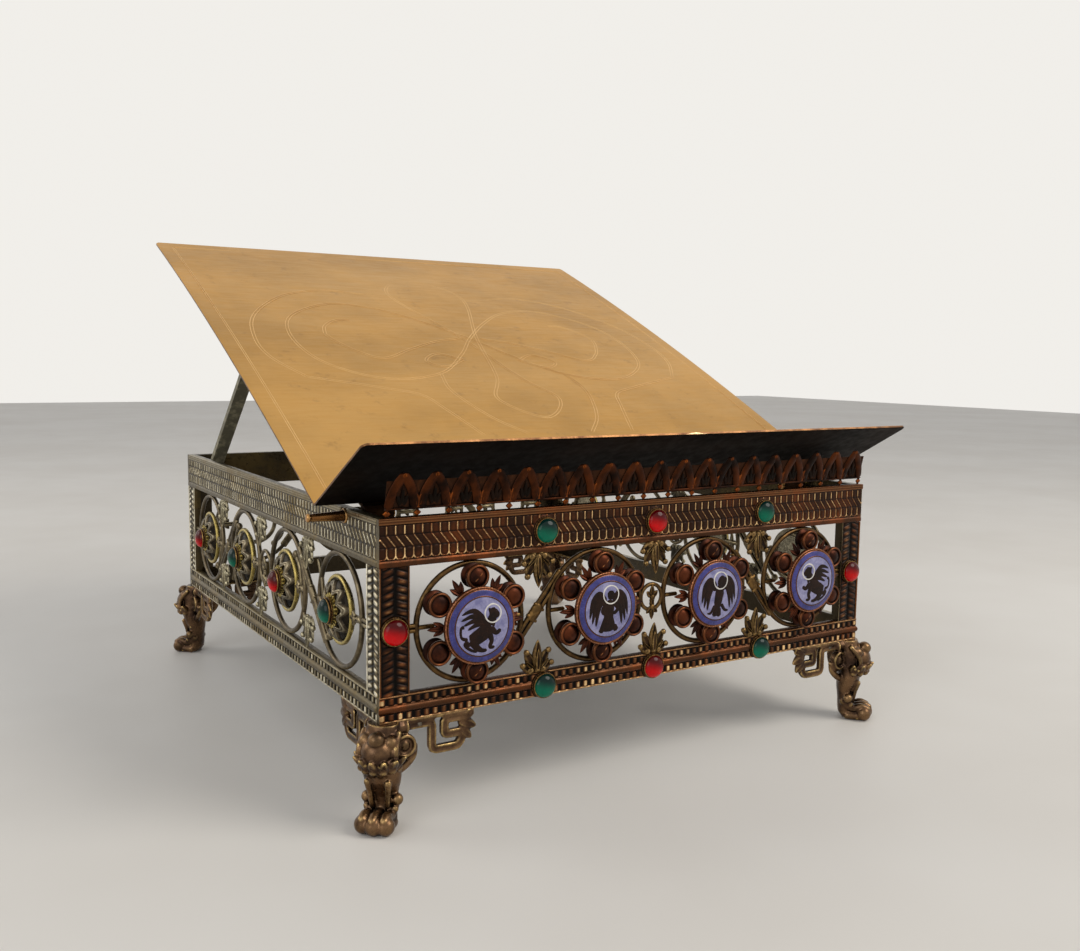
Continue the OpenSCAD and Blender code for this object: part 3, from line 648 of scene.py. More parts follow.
def make_finishes(colours):
    """All finishes, from the colours that the panel shows."""

    def pick(name):
        return tuple(255 * c for c in srgb(getattr(colours, name)))

    front = pick("front_brass")
    side = pick("side_brass")
    sheet = pick("sheet_brass")
    FINISH["front"] = worked_brass(
        "front rail brass", (8, 4, 2), (44, 25, 14), front, (255, 218, 158), (118, 58, 20),
        (0.24, 0.44),
    )
    FINISH["side"] = worked_brass(
        "side rail brass", (12, 10, 7), (66, 57, 42), side, (255, 248, 226), (118, 96, 44),
        (0.26, 0.46),
    )
    FINISH["wire"] = aged_brass(
        "drawn wire brass", (28, 19, 12), (70, 49, 29), (146, 112, 64), (12, 8, 5), 70.0,
        (0.515, 0.57), (0.26, 0.42), 0.9, 0.08,
    )
    FINISH["grey wire"] = aged_brass(
        "grey wire brass", (46, 38, 30), (88, 75, 58), (160, 146, 114), (18, 14, 10), 60.0,
        (0.515, 0.57), (0.28, 0.44), 0.9, 0.08,
    )
    FINISH["leaf"] = aged_brass(
        "cast leaf brass", (22, 14, 9), (62, 43, 26), (164, 132, 82), (7, 5, 3), 130.0,
        (0.505, 0.57), (0.26, 0.46), 0.9, 0.15, 0.003,
    )
    FINISH["grey leaf"] = aged_brass(
        "grey leaf brass", (34, 28, 21), (82, 72, 56), (198, 188, 156), (10, 8, 6), 130.0,
        (0.505, 0.57), (0.26, 0.46), 0.9, 0.15, 0.003,
    )
    FINISH["petal"] = aged_brass(
        "coppery disc brass", (36, 17, 11), (86, 42, 22), (182, 116, 70), (8, 4, 3), 90.0,
        (0.64, 0.76), (0.32, 0.44), 0.9, 0.06, 0.0009, True,
    )
    FINISH["boss"] = aged_brass(
        "strapwork boss brass", (52, 44, 34), (104, 92, 72), (216, 206, 176), (12, 9, 6), 100.0,
        (0.52, 0.6), (0.2, 0.38), 0.92, 0.08, 0.0022, True,
    )
    FINISH["boss rim"] = aged_brass(
        "golden boss rim", (70, 56, 28), (136, 116, 58), (238, 216, 132), (16, 12, 6), 100.0,
        (0.52, 0.6), (0.2, 0.38), 0.92, 0.08, 0.0022, True,
    )
    FINISH["foot"] = aged_brass(
        "cast foot brass", (58, 41, 31), (116, 88, 62), (230, 196, 128), (14, 9, 6), 70.0,
        (0.505, 0.575), (0.22, 0.42), 0.9, 0.15, 0.004,
    )
    FINISH["crest"] = aged_brass(
        "crest brass", (20, 9, 4), (78, 37, 12), (152, 78, 28), (6, 3, 2), 60.0,
        (0.5, 0.57), (0.34, 0.54), 0.8, 0.1, shine=0.2,
    )
    # Dark finish for the leaves inside the arches and the plate behind them, which is painted
    # shade.
    FINISH["crest back"] = aged_brass(
        "dark back of the crest", (12, 7, 3), (30, 16, 8), (72, 40, 20), (5, 3, 2), 40.0,
        (0.55, 0.62), (0.5, 0.7), 0.4, 0.1, shine=0.1,
    )
    FINISH["collet"] = aged_brass(
        "collet brass", (30, 18, 11), (70, 44, 24), (190, 150, 90), (8, 5, 3), 160.0,
        (0.505, 0.57), (0.22, 0.4), 0.9, 0.08,
    )
    FINISH["inner"] = aged_brass(
        "inner strip brass", (54, 40, 19), (104, 82, 38), (160, 134, 78), (18, 12, 7), 35.0,
        (0.52, 0.6), (0.34, 0.5), 0.9, 0.1,
    )
    FINISH["prop"] = aged_brass(
        "prop arm brass", (20, 17, 12), (46, 41, 30), (150, 144, 120), (8, 6, 5), 30.0,
        (0.51, 0.57), (0.36, 0.54), 0.8, 0.1, shine=0.3,
    )
    FINISH["rod"] = aged_brass(
        "hinge pin brass", (84, 52, 28), (146, 100, 54), (214, 168, 106), (14, 9, 6), 60.0,
        (0.515, 0.58), (0.2, 0.34), 0.92, 0.05,
    )
    FINISH["screw"] = aged_brass(
        "blackened screw steel", (24, 21, 18), (50, 45, 38), (128, 120, 106), (8, 7, 6), 120.0,
        (0.5, 0.57), (0.3, 0.5),
    )
    FINISH["sheet"] = sheet_metal(
        "satin sheet brass", tuple(0.9 * c for c in sheet), sheet, (112, 78, 42), (214, 170, 104)
    )
    # Dark underside of the desk sheet, also on the knuckles: painted shade for the shade beneath
    # the sheet.
    FINISH["under"] = aged_brass(
        "unpolished underside", (8, 4, 2), (22, 12, 6), (66, 42, 22), (4, 2, 1), 22.0,
        (0.52, 0.6), (0.6, 0.76), 0.4, 0.1, shine=0.08,
    )
    FINISH["edge"] = aged_brass(
        "cut sheet edge", (82, 54, 34), (138, 98, 62), (220, 184, 140), (34, 22, 14), 120.0,
        (0.5, 0.56), (0.28, 0.42),
    )
    FINISH["line"] = aged_brass(
        "engraved line", (214, 168, 100), (228, 184, 116), (240, 204, 140), (190, 144, 80), 60.0,
        (0.5, 0.58), (0.4, 0.5), 0.3, 0.1, 0.0001,
    )
    FINISH["blue"] = enamel(
        "violet blue enamel", pick("enamel_blue"), (42, 42, 100), ridge=(100, 102, 160)
    )
    FINISH["lilac"] = enamel(
        "pale lilac enamel", (150, 148, 184), (112, 112, 154), ridge=(190, 190, 212)
    )
    FINISH["figure"] = enamel(
        "dark brown enamel", (34, 17, 10), (20, 10, 7), 0.4, 0.1, (72, 42, 26), 0.06, 0.12
    )
    FINISH["white"] = enamel("white enamel", (226, 222, 214), (198, 194, 190))
    FINISH["copper"] = aged_brass(
        "copper wall of the enamel", (54, 29, 19), (92, 52, 33), (176, 118, 82), (34, 17, 11),
        200.0, (0.5, 0.57), (0.22, 0.36),
    )
    # The picked glass colour is the painted lit lower part, the second colour the painted dark
    # upper part.
    FINISH["red"] = glass("red glass", pick("red_glass"), (74, 0, 4))
    FINISH["green"] = glass("green glass", pick("green_glass"), (0, 34, 30))


# Rails and corner angles


def ease(x, low, high):
    """Eases from 0 at low to 1 at high."""
    t = np.clip((x - low) / (high - low), 0.0, 1.0)
    return t * t * (3 - 2 * t)


def chance(phase, stride, spread):
    """Value from 0 to 1 that belongs to the whole part of the phase."""
    each = np.sin(np.floor(phase) * stride) * spread
    return each - np.floor(each)


def flutes(u, v, low, high, lean=0.0, rise=0.66, swell=0.45, thin=0.21, round_end=False):
    """Row of barrels with thin ridges between them. Lean is in barrels over the row."""
    t = np.clip((v - low) / (high - low), 0.0, 1.0)
    phase = u / FLUTE + lean * t
    luck = chance(phase, 12.9898, 43.7585)
    x = 2 * np.abs(phase % 1.0 - 0.5)
    if round_end:
        x = np.hypot(x, np.clip((low - v) * 2 / FLUTE + 1, 0, None))
    ends = np.sqrt(np.clip(1 - np.abs(2 * t - 1) ** 8, 0, 1))
    barrel = np.sqrt(np.clip(1 - (x / 0.78) ** 2, 0, 1))
    ridge = np.exp(-(((1 - x) / thin) ** 2))
    inside = (v > low) & (v < high)
    height = np.where(inside, rise * ends * np.maximum(swell * barrel, ridge), 0.0)
    # Painted light: the barrel crowns are lighter by lit, most at the lower end of a round-ended
    # row, and the thin ridges are pale as worn metal and painted glints.
    lit = barrel * (0.14 + 0.3 * luck * (1 - t if round_end else 0.6))
    tone = np.where(inside, ends * np.maximum(0.1 + lit, ridge * (0.75 + 0.25 * luck)), 0.03)
    return height, tone


def barrels(u, v, low, high, rise=0.62, glint=1.0):
    """Row of full barrels with black gaps between them, their crowns lighter as bare worn metal
    and painted glints.
    """
    t = np.clip((v - low) / (high - low), 0.0, 1.0)
    phase = u / FLUTE
    luck = chance(phase, 78.233, 24.634)
    x = 2 * np.abs(phase % 1.0 - 0.5)
    body = np.sqrt(np.clip(1 - (x / 0.72) ** 2, 0, 1))
    body *= np.sqrt(np.clip(1 - (2 * t - 1) ** 6, 0, 1))
    inside = (v > low) & (v < high)
    # Lighter crowns: worn bare metal and painted glints.
    tone = 0.04 + body**2 * (0.35 + 0.6 * luck * glint)
    return np.where(inside, rise * body, 0.0), np.where(inside, tone, 0.03)


def over(first, second):
    """The higher of two reliefs at each point, with its tone."""
    higher = first[0] >= second[0]
    return np.maximum(first[0], second[0]), np.where(higher, first[1], second[1])


def top_rail_relief(u, v):
    """Height and tone of a top rail's face over its field, from its lower edge."""
    made = flutes(u, v, 3.2, 8.6, swell=0.85, round_end=True)
    made = over(made, flutes(u, v, 8.75, 14.0, lean=1.0, swell=0.5))
    made = over(made, flutes(u, v, 14.15, 18.4, swell=0.5))
    lip = (0.6 * (1 - ease(v, 2.2, 2.8)), 0.4 + 0.0 * v)
    made = over(made, lip)
    brow = (0.8 * ease(v, 18.4, 18.8), 0.5 + 0.12 * np.sin(v * 5) + 0.0 * u)
    return over(made, brow)


def low_rail_relief(u, v):
    """Height and tone of a bottom rail's face: barrels, a round bead and ribs."""
    made = barrels(u, v, 0.7, 3.9, 0.6)
    made = over(made, barrels(u, v, 8.0, 11.0, 0.66, 0.85))
    bead = 2.1**2 - (v - 5.9) ** 2
    round_bar = (np.where(bead > 0, -0.75 + np.sqrt(np.maximum(bead, 0)), 0.0), 0.42 + 0.0 * v)
    made = over(made, round_bar)
    made = over(made, (0.5 * (1 - ease(v, 0.5, 0.8)), 0.7 + 0.0 * v))
    return over(made, (0.7 * ease(v, 11.1, 11.4), 0.62 + 0.0 * v))


def rail(side, low, height, relief, flats):
    """A mitred rail with its worked outer face. Flats are bare round places."""
    half = half_sizes(side)[0]
    tall = height > 15
    first, row_step, column_step = (0.7, 0.34, 0.34) if tall else (0.6, 0.3, 0.27)
    rows = [0.0, 0.25, *np.arange(first, height - 0.3, row_step), height - 0.2, height]
    reach = half - 1.0
    columns = np.linspace(-reach, reach, int(2 * reach / column_step) + 1)
    u, v = np.meshgrid(columns, np.array(rows))
    w, tone = relief(u, v)
    w += FIELD
    if side != "front":
        worked = ease(half - np.abs(u), 3.2, 3.6)
        w = FIELD + 0.5 + (w - FIELD - 0.5) * worked
        tone = 0.4 + (tone - 0.4) * worked
    w[0] -= 0.15
    w[-1] -= 0.15
    for x, z, radius, depth in flats:
        near = ease(np.hypot(u - x, v + low - z), radius, radius + 0.4)
        w = depth + (w - depth) * near
        tone = 0.2 + (tone - 0.2) * near
    ends = np.stack([-half - w[:, 0], half + w[:, -1]])
    u = np.column_stack([ends[0], u, ends[1]])
    w = np.column_stack([w[:, 0], w, w[:, -1]])
    v = np.column_stack([v[:, 0], v, v[:, 0]])
    tone = np.column_stack([tone[:, 0], tone, tone[:, -1]])
    n_rows, n_columns = u.shape
    points = np.stack([u, v, w], 2).reshape(-1, 3).tolist()
    inner = half - RAIL_T
    start = len(points)
    points += [(-inner, 0, -RAIL_T), (inner, 0, -RAIL_T)]
    points += [(-inner, height, -RAIL_T), (inner, height, -RAIL_T)]
    b0, b1, t0, t1 = range(start, start + 4)
    last = (n_rows - 1) * n_columns
    faces = grid_faces(n_rows, n_columns)
    faces.append([b0, b1, *reversed(range(n_columns))])
    faces.append([*range(last, last + n_columns), t1, t0])
    faces.append([*range(0, last + 1, n_columns), t0, b0])
    faces.append([b1, t1, *range(last + n_columns - 1, -1, -n_columns)])
    faces.append([b0, t0, t1, b1])
    tone = np.concatenate([tone.ravel(), [0.3] * 4])
    return Shape().add((points, faces), side_frame(side, z=low), tone=tone)


def post_relief(a, z, stone):
    """Height and tone over a corner angle's plain face: two strips of round bumps."""
    middle, apart, half_strip, bump_pitch = 7.9, 3.4, 2.85, 3.4
    second = a > middle
    x = np.abs(a - middle) - apart
    strip = np.clip(1 - (x / half_strip) ** 2, 0, 1) ** 0.5
    phase = (z / bump_pitch + 0.28 * x / half_strip + 0.25 * second) % 1.0
    bump = np.sqrt(np.clip(1 - ((2 * phase - 1) / 0.86) ** 2, 0, 1))
    h = 0.72 * strip * (0.05 + 0.95 * bump)
    tone = 0.03 + (strip * bump) ** 1.5 * (0.42 + 0.2 * np.sin(z * 1.7 + 3 * second))
    edge = np.maximum(0.5 * (1 - ease(a, 0.9, 1.4)), 0.5 * ease(a, 14.1, 14.5))
    tone = np.where(edge > h, 0.55, tone)
    h = np.maximum(h, edge)
    if stone:
        clear = ease(np.hypot(a - POST_W / 2, z - WINDOW_MID), CLEAR_R, CLEAR_R + 0.4)
        h = h * clear
        tone = 0.2 + (tone - 0.2) * clear
    return h, tone


def corner_frame(side_x, side_y, z=0.0):
    """Frame at an outer corner, its axes running inward along both rails."""
    y = FRONT_Y if side_y < 0 else BACK_Y
    return basis((-side_x, 0, 0), (0, -side_y, 0), (0, 0, 1), (side_x * HALF_W, y, z))


def post(side_x, side_y):
    """Corner angle with bumps on both outer faces; its flank is painted paler, a painted
    highlight.
    """
    depth = -FIELD
    inner = depth + 4
    legs = np.arange(1.1, POST_W - 0.05, 0.34)
    rows = np.arange(WINDOW_LOW, WINDOW_TOP + 0.01, 0.3)
    points = []
    tones = []
    for z in rows:
        front, front_tone = post_relief(legs, z, side_y < 0)
        flank, flank_tone = post_relief(legs, z, False)
        points += [(a, depth - h, z) for a, h in zip(legs[::-1], front[::-1])]
        points.append((depth - 0.45, depth - 0.45, z))
        points += [(depth - h, a, z) for a, h in zip(legs, flank)]
        points += [(depth, POST_W, z), (inner, POST_W, z), (inner, inner, z)]
        points += [(POST_W, inner, z), (POST_W, depth, z)]
        # The flank's tones are raised 1.9 times: painted glints on that face.
        tones += [*front_tone[::-1], 0.6, *(1.9 * flank_tone), *[0.3] * 5]
    columns = len(points) // len(rows)
    faces = grid_faces(len(rows), columns, False, True) + cap_faces(len(rows), columns)
    faces = [face[::-1] for face in faces]
    slots = ([0] * len(legs) + [1] * (columns - len(legs))) * (len(rows) - 1) + [0, 0]
    return Shape().add((points, faces, slots), corner_frame(side_x, side_y), tone=tones)


# Stones of the front rails: place along the rail, height, and 0 for red or 1 for green.
# The green ones stand a little to the right of the leaves.
GREEN_OFF = 4.0
STONES = [
    (x + GREEN_OFF * kind, z, kind)
    for z in (127.25, 52.4)
    for x, kind in ((-FRONT_PITCH, 1), (0, 0), (FRONT_PITCH, 1))
]


class LECTERN_OT_rails(bpy.types.Operator):
    """Mitred rails with barrels and ridges, and corner angles with rows of bumps"""

    bl_idname = "lectern.rails"
    bl_label = "Rails and Corner Angles"

    def execute(self, context):
        for side in SIDES:
            finish = FINISH["front" if side == "front" else "side"]
            flats = []
            if side == "front":
                flats = [(x, z, CLEAR_R, STONE_SEAT - 0.04) for x, z, _ in STONES]
            if side in ("left", "right"):
                x = (HINGE_Y - MID_Y) * (1 if side == "right" else -1)
                flats = [(x, HINGE_Z, 4.4, FIELD + 0.05)]
            made = rail(side, WINDOW_TOP, FRAME_TOP - WINDOW_TOP, top_rail_relief, flats)
            made = made.piece(f"worked_top_rail_{side}", [finish], 55)
            finish_piece(made, "base")
            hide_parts(f"rail_top_{side}")
            made = rail(side, FOOT_H, WINDOW_LOW - FOOT_H, low_rail_relief, flats)
            made = made.piece(f"worked_bottom_rail_{side}", [finish], 55)
            finish_piece(made, "base")
            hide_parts(f"rail_bottom_{side}")
        for side_x, right in ((-1, "left"), (1, "right")):
            for side_y, depth in ((-1, "front"), (1, "back")):
                made = post(side_x, side_y)
                finishes = [FINISH["front" if side_y < 0 else "side"], FINISH["side"]]
                made = made.piece(f"worked_corner_{depth}_{right}", finishes, 55)
                finish_piece(made, "base")
                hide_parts(f"post_{depth}_{right}")
        return {"FINISHED"}


# Scrollwork


def ball_wire(x, hand, turned, w):
    """Ball-ended wire inside a ring, which runs out beside the slanting link."""
    points = [(13.5, 16.1), (18.6, 11.4), (21.2, 4.0), (22.4, -4.0), (24.6, -12.0), (28.2, -18.6)]
    sign = -1 if turned else 1
    path = [(sign * a, sign * b * -hand, w) for a, b in points]
    made = Shape().add(tube(curve_through(path, 6), 1.0, 10), shift(x))
    return made.add(ball(2.3, 0.85), shift(x, 0, 0) @ shift(*path[0]))


def clamp_leaf(made, place):
    """Small three-lobed clamp that ties two wires."""
    for angle, length in ((0, 6.6), (-48, 4.8), (48, 4.8), (180, 4.2)):
        made.add(lobe(length, 3.0, 1.2, 0.3, 10, 12), place @ spin(angle))
    made.add(ball(1.6, 0.8, 14, 8), place @ shift(0, 0, 0.5))


def scroll_panel(side, pitch, spoked, wire):
    """Rings, links, ball-ended wires and clamps of one side's panel."""
    made = Shape()
    w = SCROLL_FACE - 1.3
    radius = wire / 2
    spoke_from, spoke_r, spoke_sides = (14, 1.6, 12) if spoked else (19, 1.1, 10)
    for i in range(4):
        x = (i - 1.5) * pitch
        made.add(ring_tube(RING_MID, radius, 110, 14, x, 0, w))
        if spoked:
            made.add(ring_tube(14.0, 1.5, 48, 10, x, 0, w - 0.4))
        for turn in (0, 180):
            place = shift(x, 0, 0) @ spin(turn)
            spoke = [(spoke_from, 0, w), (RING_MID - 0.4, 0, w)]
            made.add(tube(spoke, spoke_r, spoke_sides), place)
            if spoked:
                clamp_leaf(made, place @ shift(21.4, 0, w + 0.9) @ spin(90))
    lean = math.degrees(math.asin(2 * RING_MID / pitch))
    length = 2 * math.sqrt(pitch * pitch / 4 - RING_MID * RING_MID)
    for x, hand in ((-pitch, 1), (pitch, -1)):
        place = shift(x, 0, 0) @ spin(hand * lean)
        for offset in (-1.35, 1.35):
            ends = [(-length / 2 - 1, offset, w), (0, offset, w), (length / 2 + 1, offset, w)]
            made.add(tube(curve_through(ends, 6), radius - 0.15, 12), place)
        made.add(tube([(-3.4, 0, w - 0.1), (3.4, 0, w - 0.1)], 2.9, 16, flat=0.62), place)
        for m in (-1, 1):
            made.add(tube([(3.2 * m, -2.6, w + 0.5), (3.2 * m, 2.6, w + 0.5)], 0.9, 8), place)
        if spoked:
            made.join(ball_wire(x - pitch / 2, hand, False, w))
            made.join(ball_wire(x + pitch / 2, hand, True, w))
    middle = pitch / 2 - RING_MID
    made.add(ring_tube(middle - 1.05, 1.05, 40, 10, 0, 0, w))
    clamp_leaf(made, shift(0, 0, w + 0.6))
    clamp_leaf(made, shift(0, -5.0, w + 0.6) @ spin(180))
    half = half_sizes(side)[0] - POST_W
    first = 1.5 * pitch + RING_MID
    for m in (-1, 1):
        for offset in (-1.1, 1.1):
            path = [(m * (first - 0.5), offset, w), (m * half, offset, w)]
            made.add(tube(path, 1.1, 10))
    return Shape().join(made, side_frame(side, z=WINDOW_MID))


class LECTERN_OT_scrollwork(bpy.types.Operator):
    """Wire rings, slanting links, ball-ended wires and clamps, in four panels"""

    bl_idname = "lectern.scrollwork"
    bl_label = "Scrollwork"

    def execute(self, context):
        wire = context.scene.lectern_sizes.wire / MM
        for side in SIDES:
            pitch = FRONT_PITCH if side in ("front", "back") else SIDE_PITCH
            made = scroll_panel(side, pitch, side != "front", wire)
            finish = FINISH["wire" if side == "front" else "grey wire"]
            made = made.piece(f"wire_scrolls_{side}", [finish])
            finish_piece(made, "base")
            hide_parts(f"scroll_{side}")
        return {"FINISHED"}


def acanthus():
    """Cast leaf with turned-over lobes in two layers, from its root upwards."""
    made = Shape()
    for lean, length, width, curl in ((30, 13.8, 5.6, 0.9), (62, 10.6, 4.8, 0.6)):
        for angle in (-lean, lean):
            made.add(lobe(length, width, 1.5, curl, vein=0.5), spin(angle) @ shift(0, 0, -0.5))
            tip = shift(0, 0, -0.5) @ spin(angle) @ shift(0, length - 1.6, curl + 0.6)
            made.add(ball(1.5, 0.9, 14, 8), tip)
    made.add(lobe(16.4, 5.6, 1.9, 1.4, vein=0.55), shift(0, 0, -0.2))
    made.add(lobe(12.0, 3.0, 1.5, 0.8, 12, 14, 0.6), shift(0, 0, 1.0))
    for angle in (-17, 17, -46, 46):
        made.add(lobe(8.8, 2.5, 1.5, 0.4, 10, 12, 0.6), spin(angle) @ shift(0, 0.5, 0.3))
    for x in (-3.4, 0, 3.4):
        made.add(ball(1.9, 0.85), shift(x, 1.7 - 0.1 * abs(x), 0.3))
    made.add(tube([(-4.8, 0.8, -0.2), (4.8, 0.8, -0.2)], 0.8, 10))
    return made


class LECTERN_OT_leaves(bpy.types.Operator):
    """Cast leaves between the rings, hanging from and standing on the rails"""

    bl_idname = "lectern.leaves"
    bl_label = "Leaf Castings"

    def execute(self, context):
        for side in ("front", "left", "right"):
            pitch = FRONT_PITCH if side == "front" else SIDE_PITCH
            made = Shape()
            for k in (-1, 0, 1):
                place = side_frame(side, k * pitch, WINDOW_LOW, -0.4)
                if side != "front":
                    place = place @ shift(0, 17.2, 0) @ upside_down()
                made.join(acanthus(), place)
                place = side_frame(side, k * pitch, WINDOW_TOP, -0.4)
                made.join(acanthus(), place @ upside_down())
            finish = FINISH["leaf" if side == "front" else "grey leaf"]
            made = made.piece(f"acanthus_{side}", [finish])
            finish_piece(made, "base")
            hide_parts(f"leaves_{side}")
        return {"FINISHED"}


# Medallions


ENAMEL_R = 16.7
GROUND_R = 13.3
DOME_R = 16.8
DOME_BASE = 1.2
DOME_RISE = 1.95

# Growth of the drawn figures, and of the width of their strokes
FIGURE_GROWTH = 1.14
STROKE_GROWTH = 1.24


def dome_height(r):
    """Height of the enamel over its base, at a distance from its middle."""
    return DOME_BASE + DOME_RISE * math.sqrt(max(0.0, 1 - (r / DOME_R) ** 2))


def on_dome(x, y, h):
    """Point over the enamel's dome."""
    return (x, y, dome_height(math.hypot(x, y)) + h)


def on_ground(x, y, h):
    """Point over the enamel's ground, drawn in where it comes near the ring."""
    inner, room = 10.4, 2.5
    r = math.hypot(x, y)
    if r > inner:
        share = (inner + room * math.tanh((r - inner) / room)) / r
        x, y = x * share, y * share
    return on_dome(x, y, h)


def petals():
    """Six stepped discs on stems round a medallion, with pointed leaves between."""
    made = Shape()
    top = PETAL_H
    sides = 44
    profile = [
        (0, 0), (5.6, 0), (5.85, 0.3), (5.85, 0.8), (5.5, 1.2), (3.9, 1.8), (3.7, 2.4),
        (3.7, top - 3.2), (4.4, top - 2.5), (5.5, top - 2.2), (5.8, top - 1.8),
        (5.85, top - 1.2), (5.7, top - 0.5), (5.35, top - 0.1), (4.95, top), (4.6, top - 0.2),
        (4.4, top - 0.6), (4.2, top - 0.9), (3.95, top - 0.85), (3.6, top - 0.5),
        (2.9, top - 0.1), (2.0, top + 0.2), (1.0, top + 0.36), (0, top + 0.4),
    ]
    # Painted highlight: the lip of each disc takes a high tone, and the steps below it are darker.
    tones = []
    for r, h in profile:
        lip = r > 4.5 and h > top - 1.9
        tones += [0.68 if lip else 0.5 if r < 4 else 0.2] * (sides if r else 1)
    for k in range(6):
        turn = spin(-60 * k)
        made.add(lathe(profile, sides), turn @ shift(0, 21.8, 0), tone=tones)
        for angle, length in ((0, 8.6), (-30, 6.4), (30, 6.4)):
            place = turn @ spin(30) @ shift(0, 16.2, top - 1.6) @ spin(angle)
            made.add(lobe(length, 2.8, 1.0, -0.6, 10, 12, 0.5), place)
    return made


def bezel():
    """Thin rim with a fine roped edge round the enamel."""
    profile = [
        (0, 0), (17.4, 0), (17.9, 0.3), (17.9, 0.9), (17.7, 1.15), (17.9, 1.4), (17.9, 1.8),
        (17.7, 2.1), (17.35, 2.2), (17.0, 2.1), (16.85, 1.9), (16.82, 1.02), (0, 1.02),
    ]

    def notch(r, h, angle):
        """Draws the upper rim in and out like a fine rope."""
        wave = 0.06 * math.cos(72 * angle) if r > 17.6 and h > 1.2 else 0.0
        return r - 0.06 + wave, h

    return lathe(profile, 288, notch)


def plaque():
    """Domed enamel in zones: rim, violet ring, copper and dark lines, lilac ground."""
    zones = ((16.4, 1, 3), (13.95, 0, 8), (13.6, 1, 3), (GROUND_R, 3, 3), (0.0, 2, 26))
    profile = [(0.0, 0.0), (ENAMEL_R, 0.0), (ENAMEL_R, dome_height(ENAMEL_R))]
    slots = [1, 1]
    outer = ENAMEL_R
    for inner, slot, steps in zones:
        for r in np.linspace(outer, inner, steps + 1)[1:]:
            profile.append((r, dome_height(r) + (0.1 if slot == 1 and r < 14 else 0.0)))
            slots.append(slot)
        outer = inner
    return lathe(profile, 96, None, slots)


def winged_beast(hand):
    """Strokes and halo of a winged beast, seen from the side, its head turned up."""
    lines = [
        ([(3.2, 0.4), (0.6, -2.2), (-3.2, -4.4), (-5.6, -5.4)], [5.0, 6.0, 5.6, 4.6]),
        ([(2.8, 0.6), (4.0, 2.6), (4.8, 4.4)], [5.0, 3.8, 3.4]),
        ([(2.8, 5.2), (4.2, 5.2), (5.6, 4.7), (7.4, 3.6)], [2.6, 3.9, 3.4, 1.8]),
        ([(3.4, 5.8), (2.7, 7.2)], [1.5, 0.8]),
        ([(5.0, 6.0), (5.1, 7.3)], [1.5, 0.8]),
        ([(3.4, -0.6), (6.0, -3.0), (8.2, -2.0)], [2.6, 1.9, 1.5]),
        ([(2.4, -2.0), (4.0, -5.8), (3.4, -8.4), (5.6, -9.2)], [2.8, 1.9, 1.6, 1.5]),
        ([(-4.8, -4.6), (-2.6, -8.0), (-0.2, -9.6), (2.0, -9.8)], [4.2, 2.6, 1.8, 1.5]),
        ([(-6.0, -5.6), (-7.6, -7.2), (-5.0, -9.2), (-2.4, -9.9)], [3.4, 2.0, 1.6, 1.4]),
        ([(-6.6, -4.6), (-9.4, -3.4), (-9.6, 0.0), (-8.2, 0.8)], [1.5, 1.2, 1.1, 1.5]),
    ]
    for tip_x, tip_y, knee_x, knee_y in (
        (-9.4, 5.6, -3.6, 6.6),
        (-9.4, 3.2, -3.8, 4.6),
        (-8.4, 1.2, -3.4, 2.8),
        (-6.6, -0.6, -2.6, 1.2),
    ):
        lines.append(([(1.8, 1.4), (knee_x, knee_y), (tip_x, tip_y)], [2.2, 2.0, 0.8]))
    lines = [([(hand * x, y) for x, y in path], width) for path, width in lines]
    return lines, (hand * 4.6, 5.0, 3.7)


def standing_figure(bird):
    """Strokes and halo of a frontal figure with folded wings, robed, or a bird."""
    if bird:
        lines = [
            ([(0.6, 4.6), (0.2, 0.6), (-0.6, -3.8), (-0.4, -7.0)], [2.8, 4.8, 4.2, 2.0]),
            (
                [(0.3, 4.0), (0.7, 5.8), (1.7, 7.0), (3.0, 6.5), (4.3, 5.6)],
                [2.4, 3.0, 2.8, 2.0, 0.8],
            ),
            ([(-0.8, -5.8), (-2.6, -10.2)], [2.2, 2.8]),
            ([(0.2, -6.0), (0.4, -10.6)], [2.0, 2.6]),
            ([(1.4, -4.6), (3.6, -7.4), (5.8, -8.0)], [1.8, 1.3, 0.9]),
            ([(-2.2, -4.8), (-4.4, -8.2), (-6.6, -8.6)], [1.8, 1.3, 0.9]),
        ]
    else:
        lines = [
            ([(0.2, 4.2), (0.0, 0.6), (-0.4, -3.4), (-0.6, -9.6)], [3.0, 4.4, 4.6, 8.6]),
            ([(0.4, 4.2), (0.6, 5.4), (0.8, 6.8), (0.9, 8.0)], [2.0, 3.0, 3.5, 1.8]),
            ([(-3.0, -7.4), (-4.4, -10.2)], [2.4, 2.2]),
            ([(2.4, -7.0), (4.4, -9.8)], [2.6, 2.2]),
            ([(1.8, 3.0), (4.4, 0.2), (2.2, -2.2)], [2.2, 1.9, 1.4]),
            ([(-1.6, 2.8), (-3.4, -0.6), (-0.8, -2.4)], [2.2, 1.9, 1.4]),
        ]
    for m in (-1, 1):
        for points in (
            [(1.8, 3.6), (5.0, 6.8), (8.2, 4.0), (9.8, -3.4)],
            [(1.8, 3.0), (4.6, 5.0), (7.0, 2.0), (8.4, -5.6)],
            [(1.6, 2.4), (4.2, 3.2), (5.8, 0.0), (6.6, -6.8)],
        ):
            lines.append(([(m * x, y) for x, y in points], [1.9, 2.6, 2.3, 0.8]))
    return lines, (0.8, 6.3, 3.9)


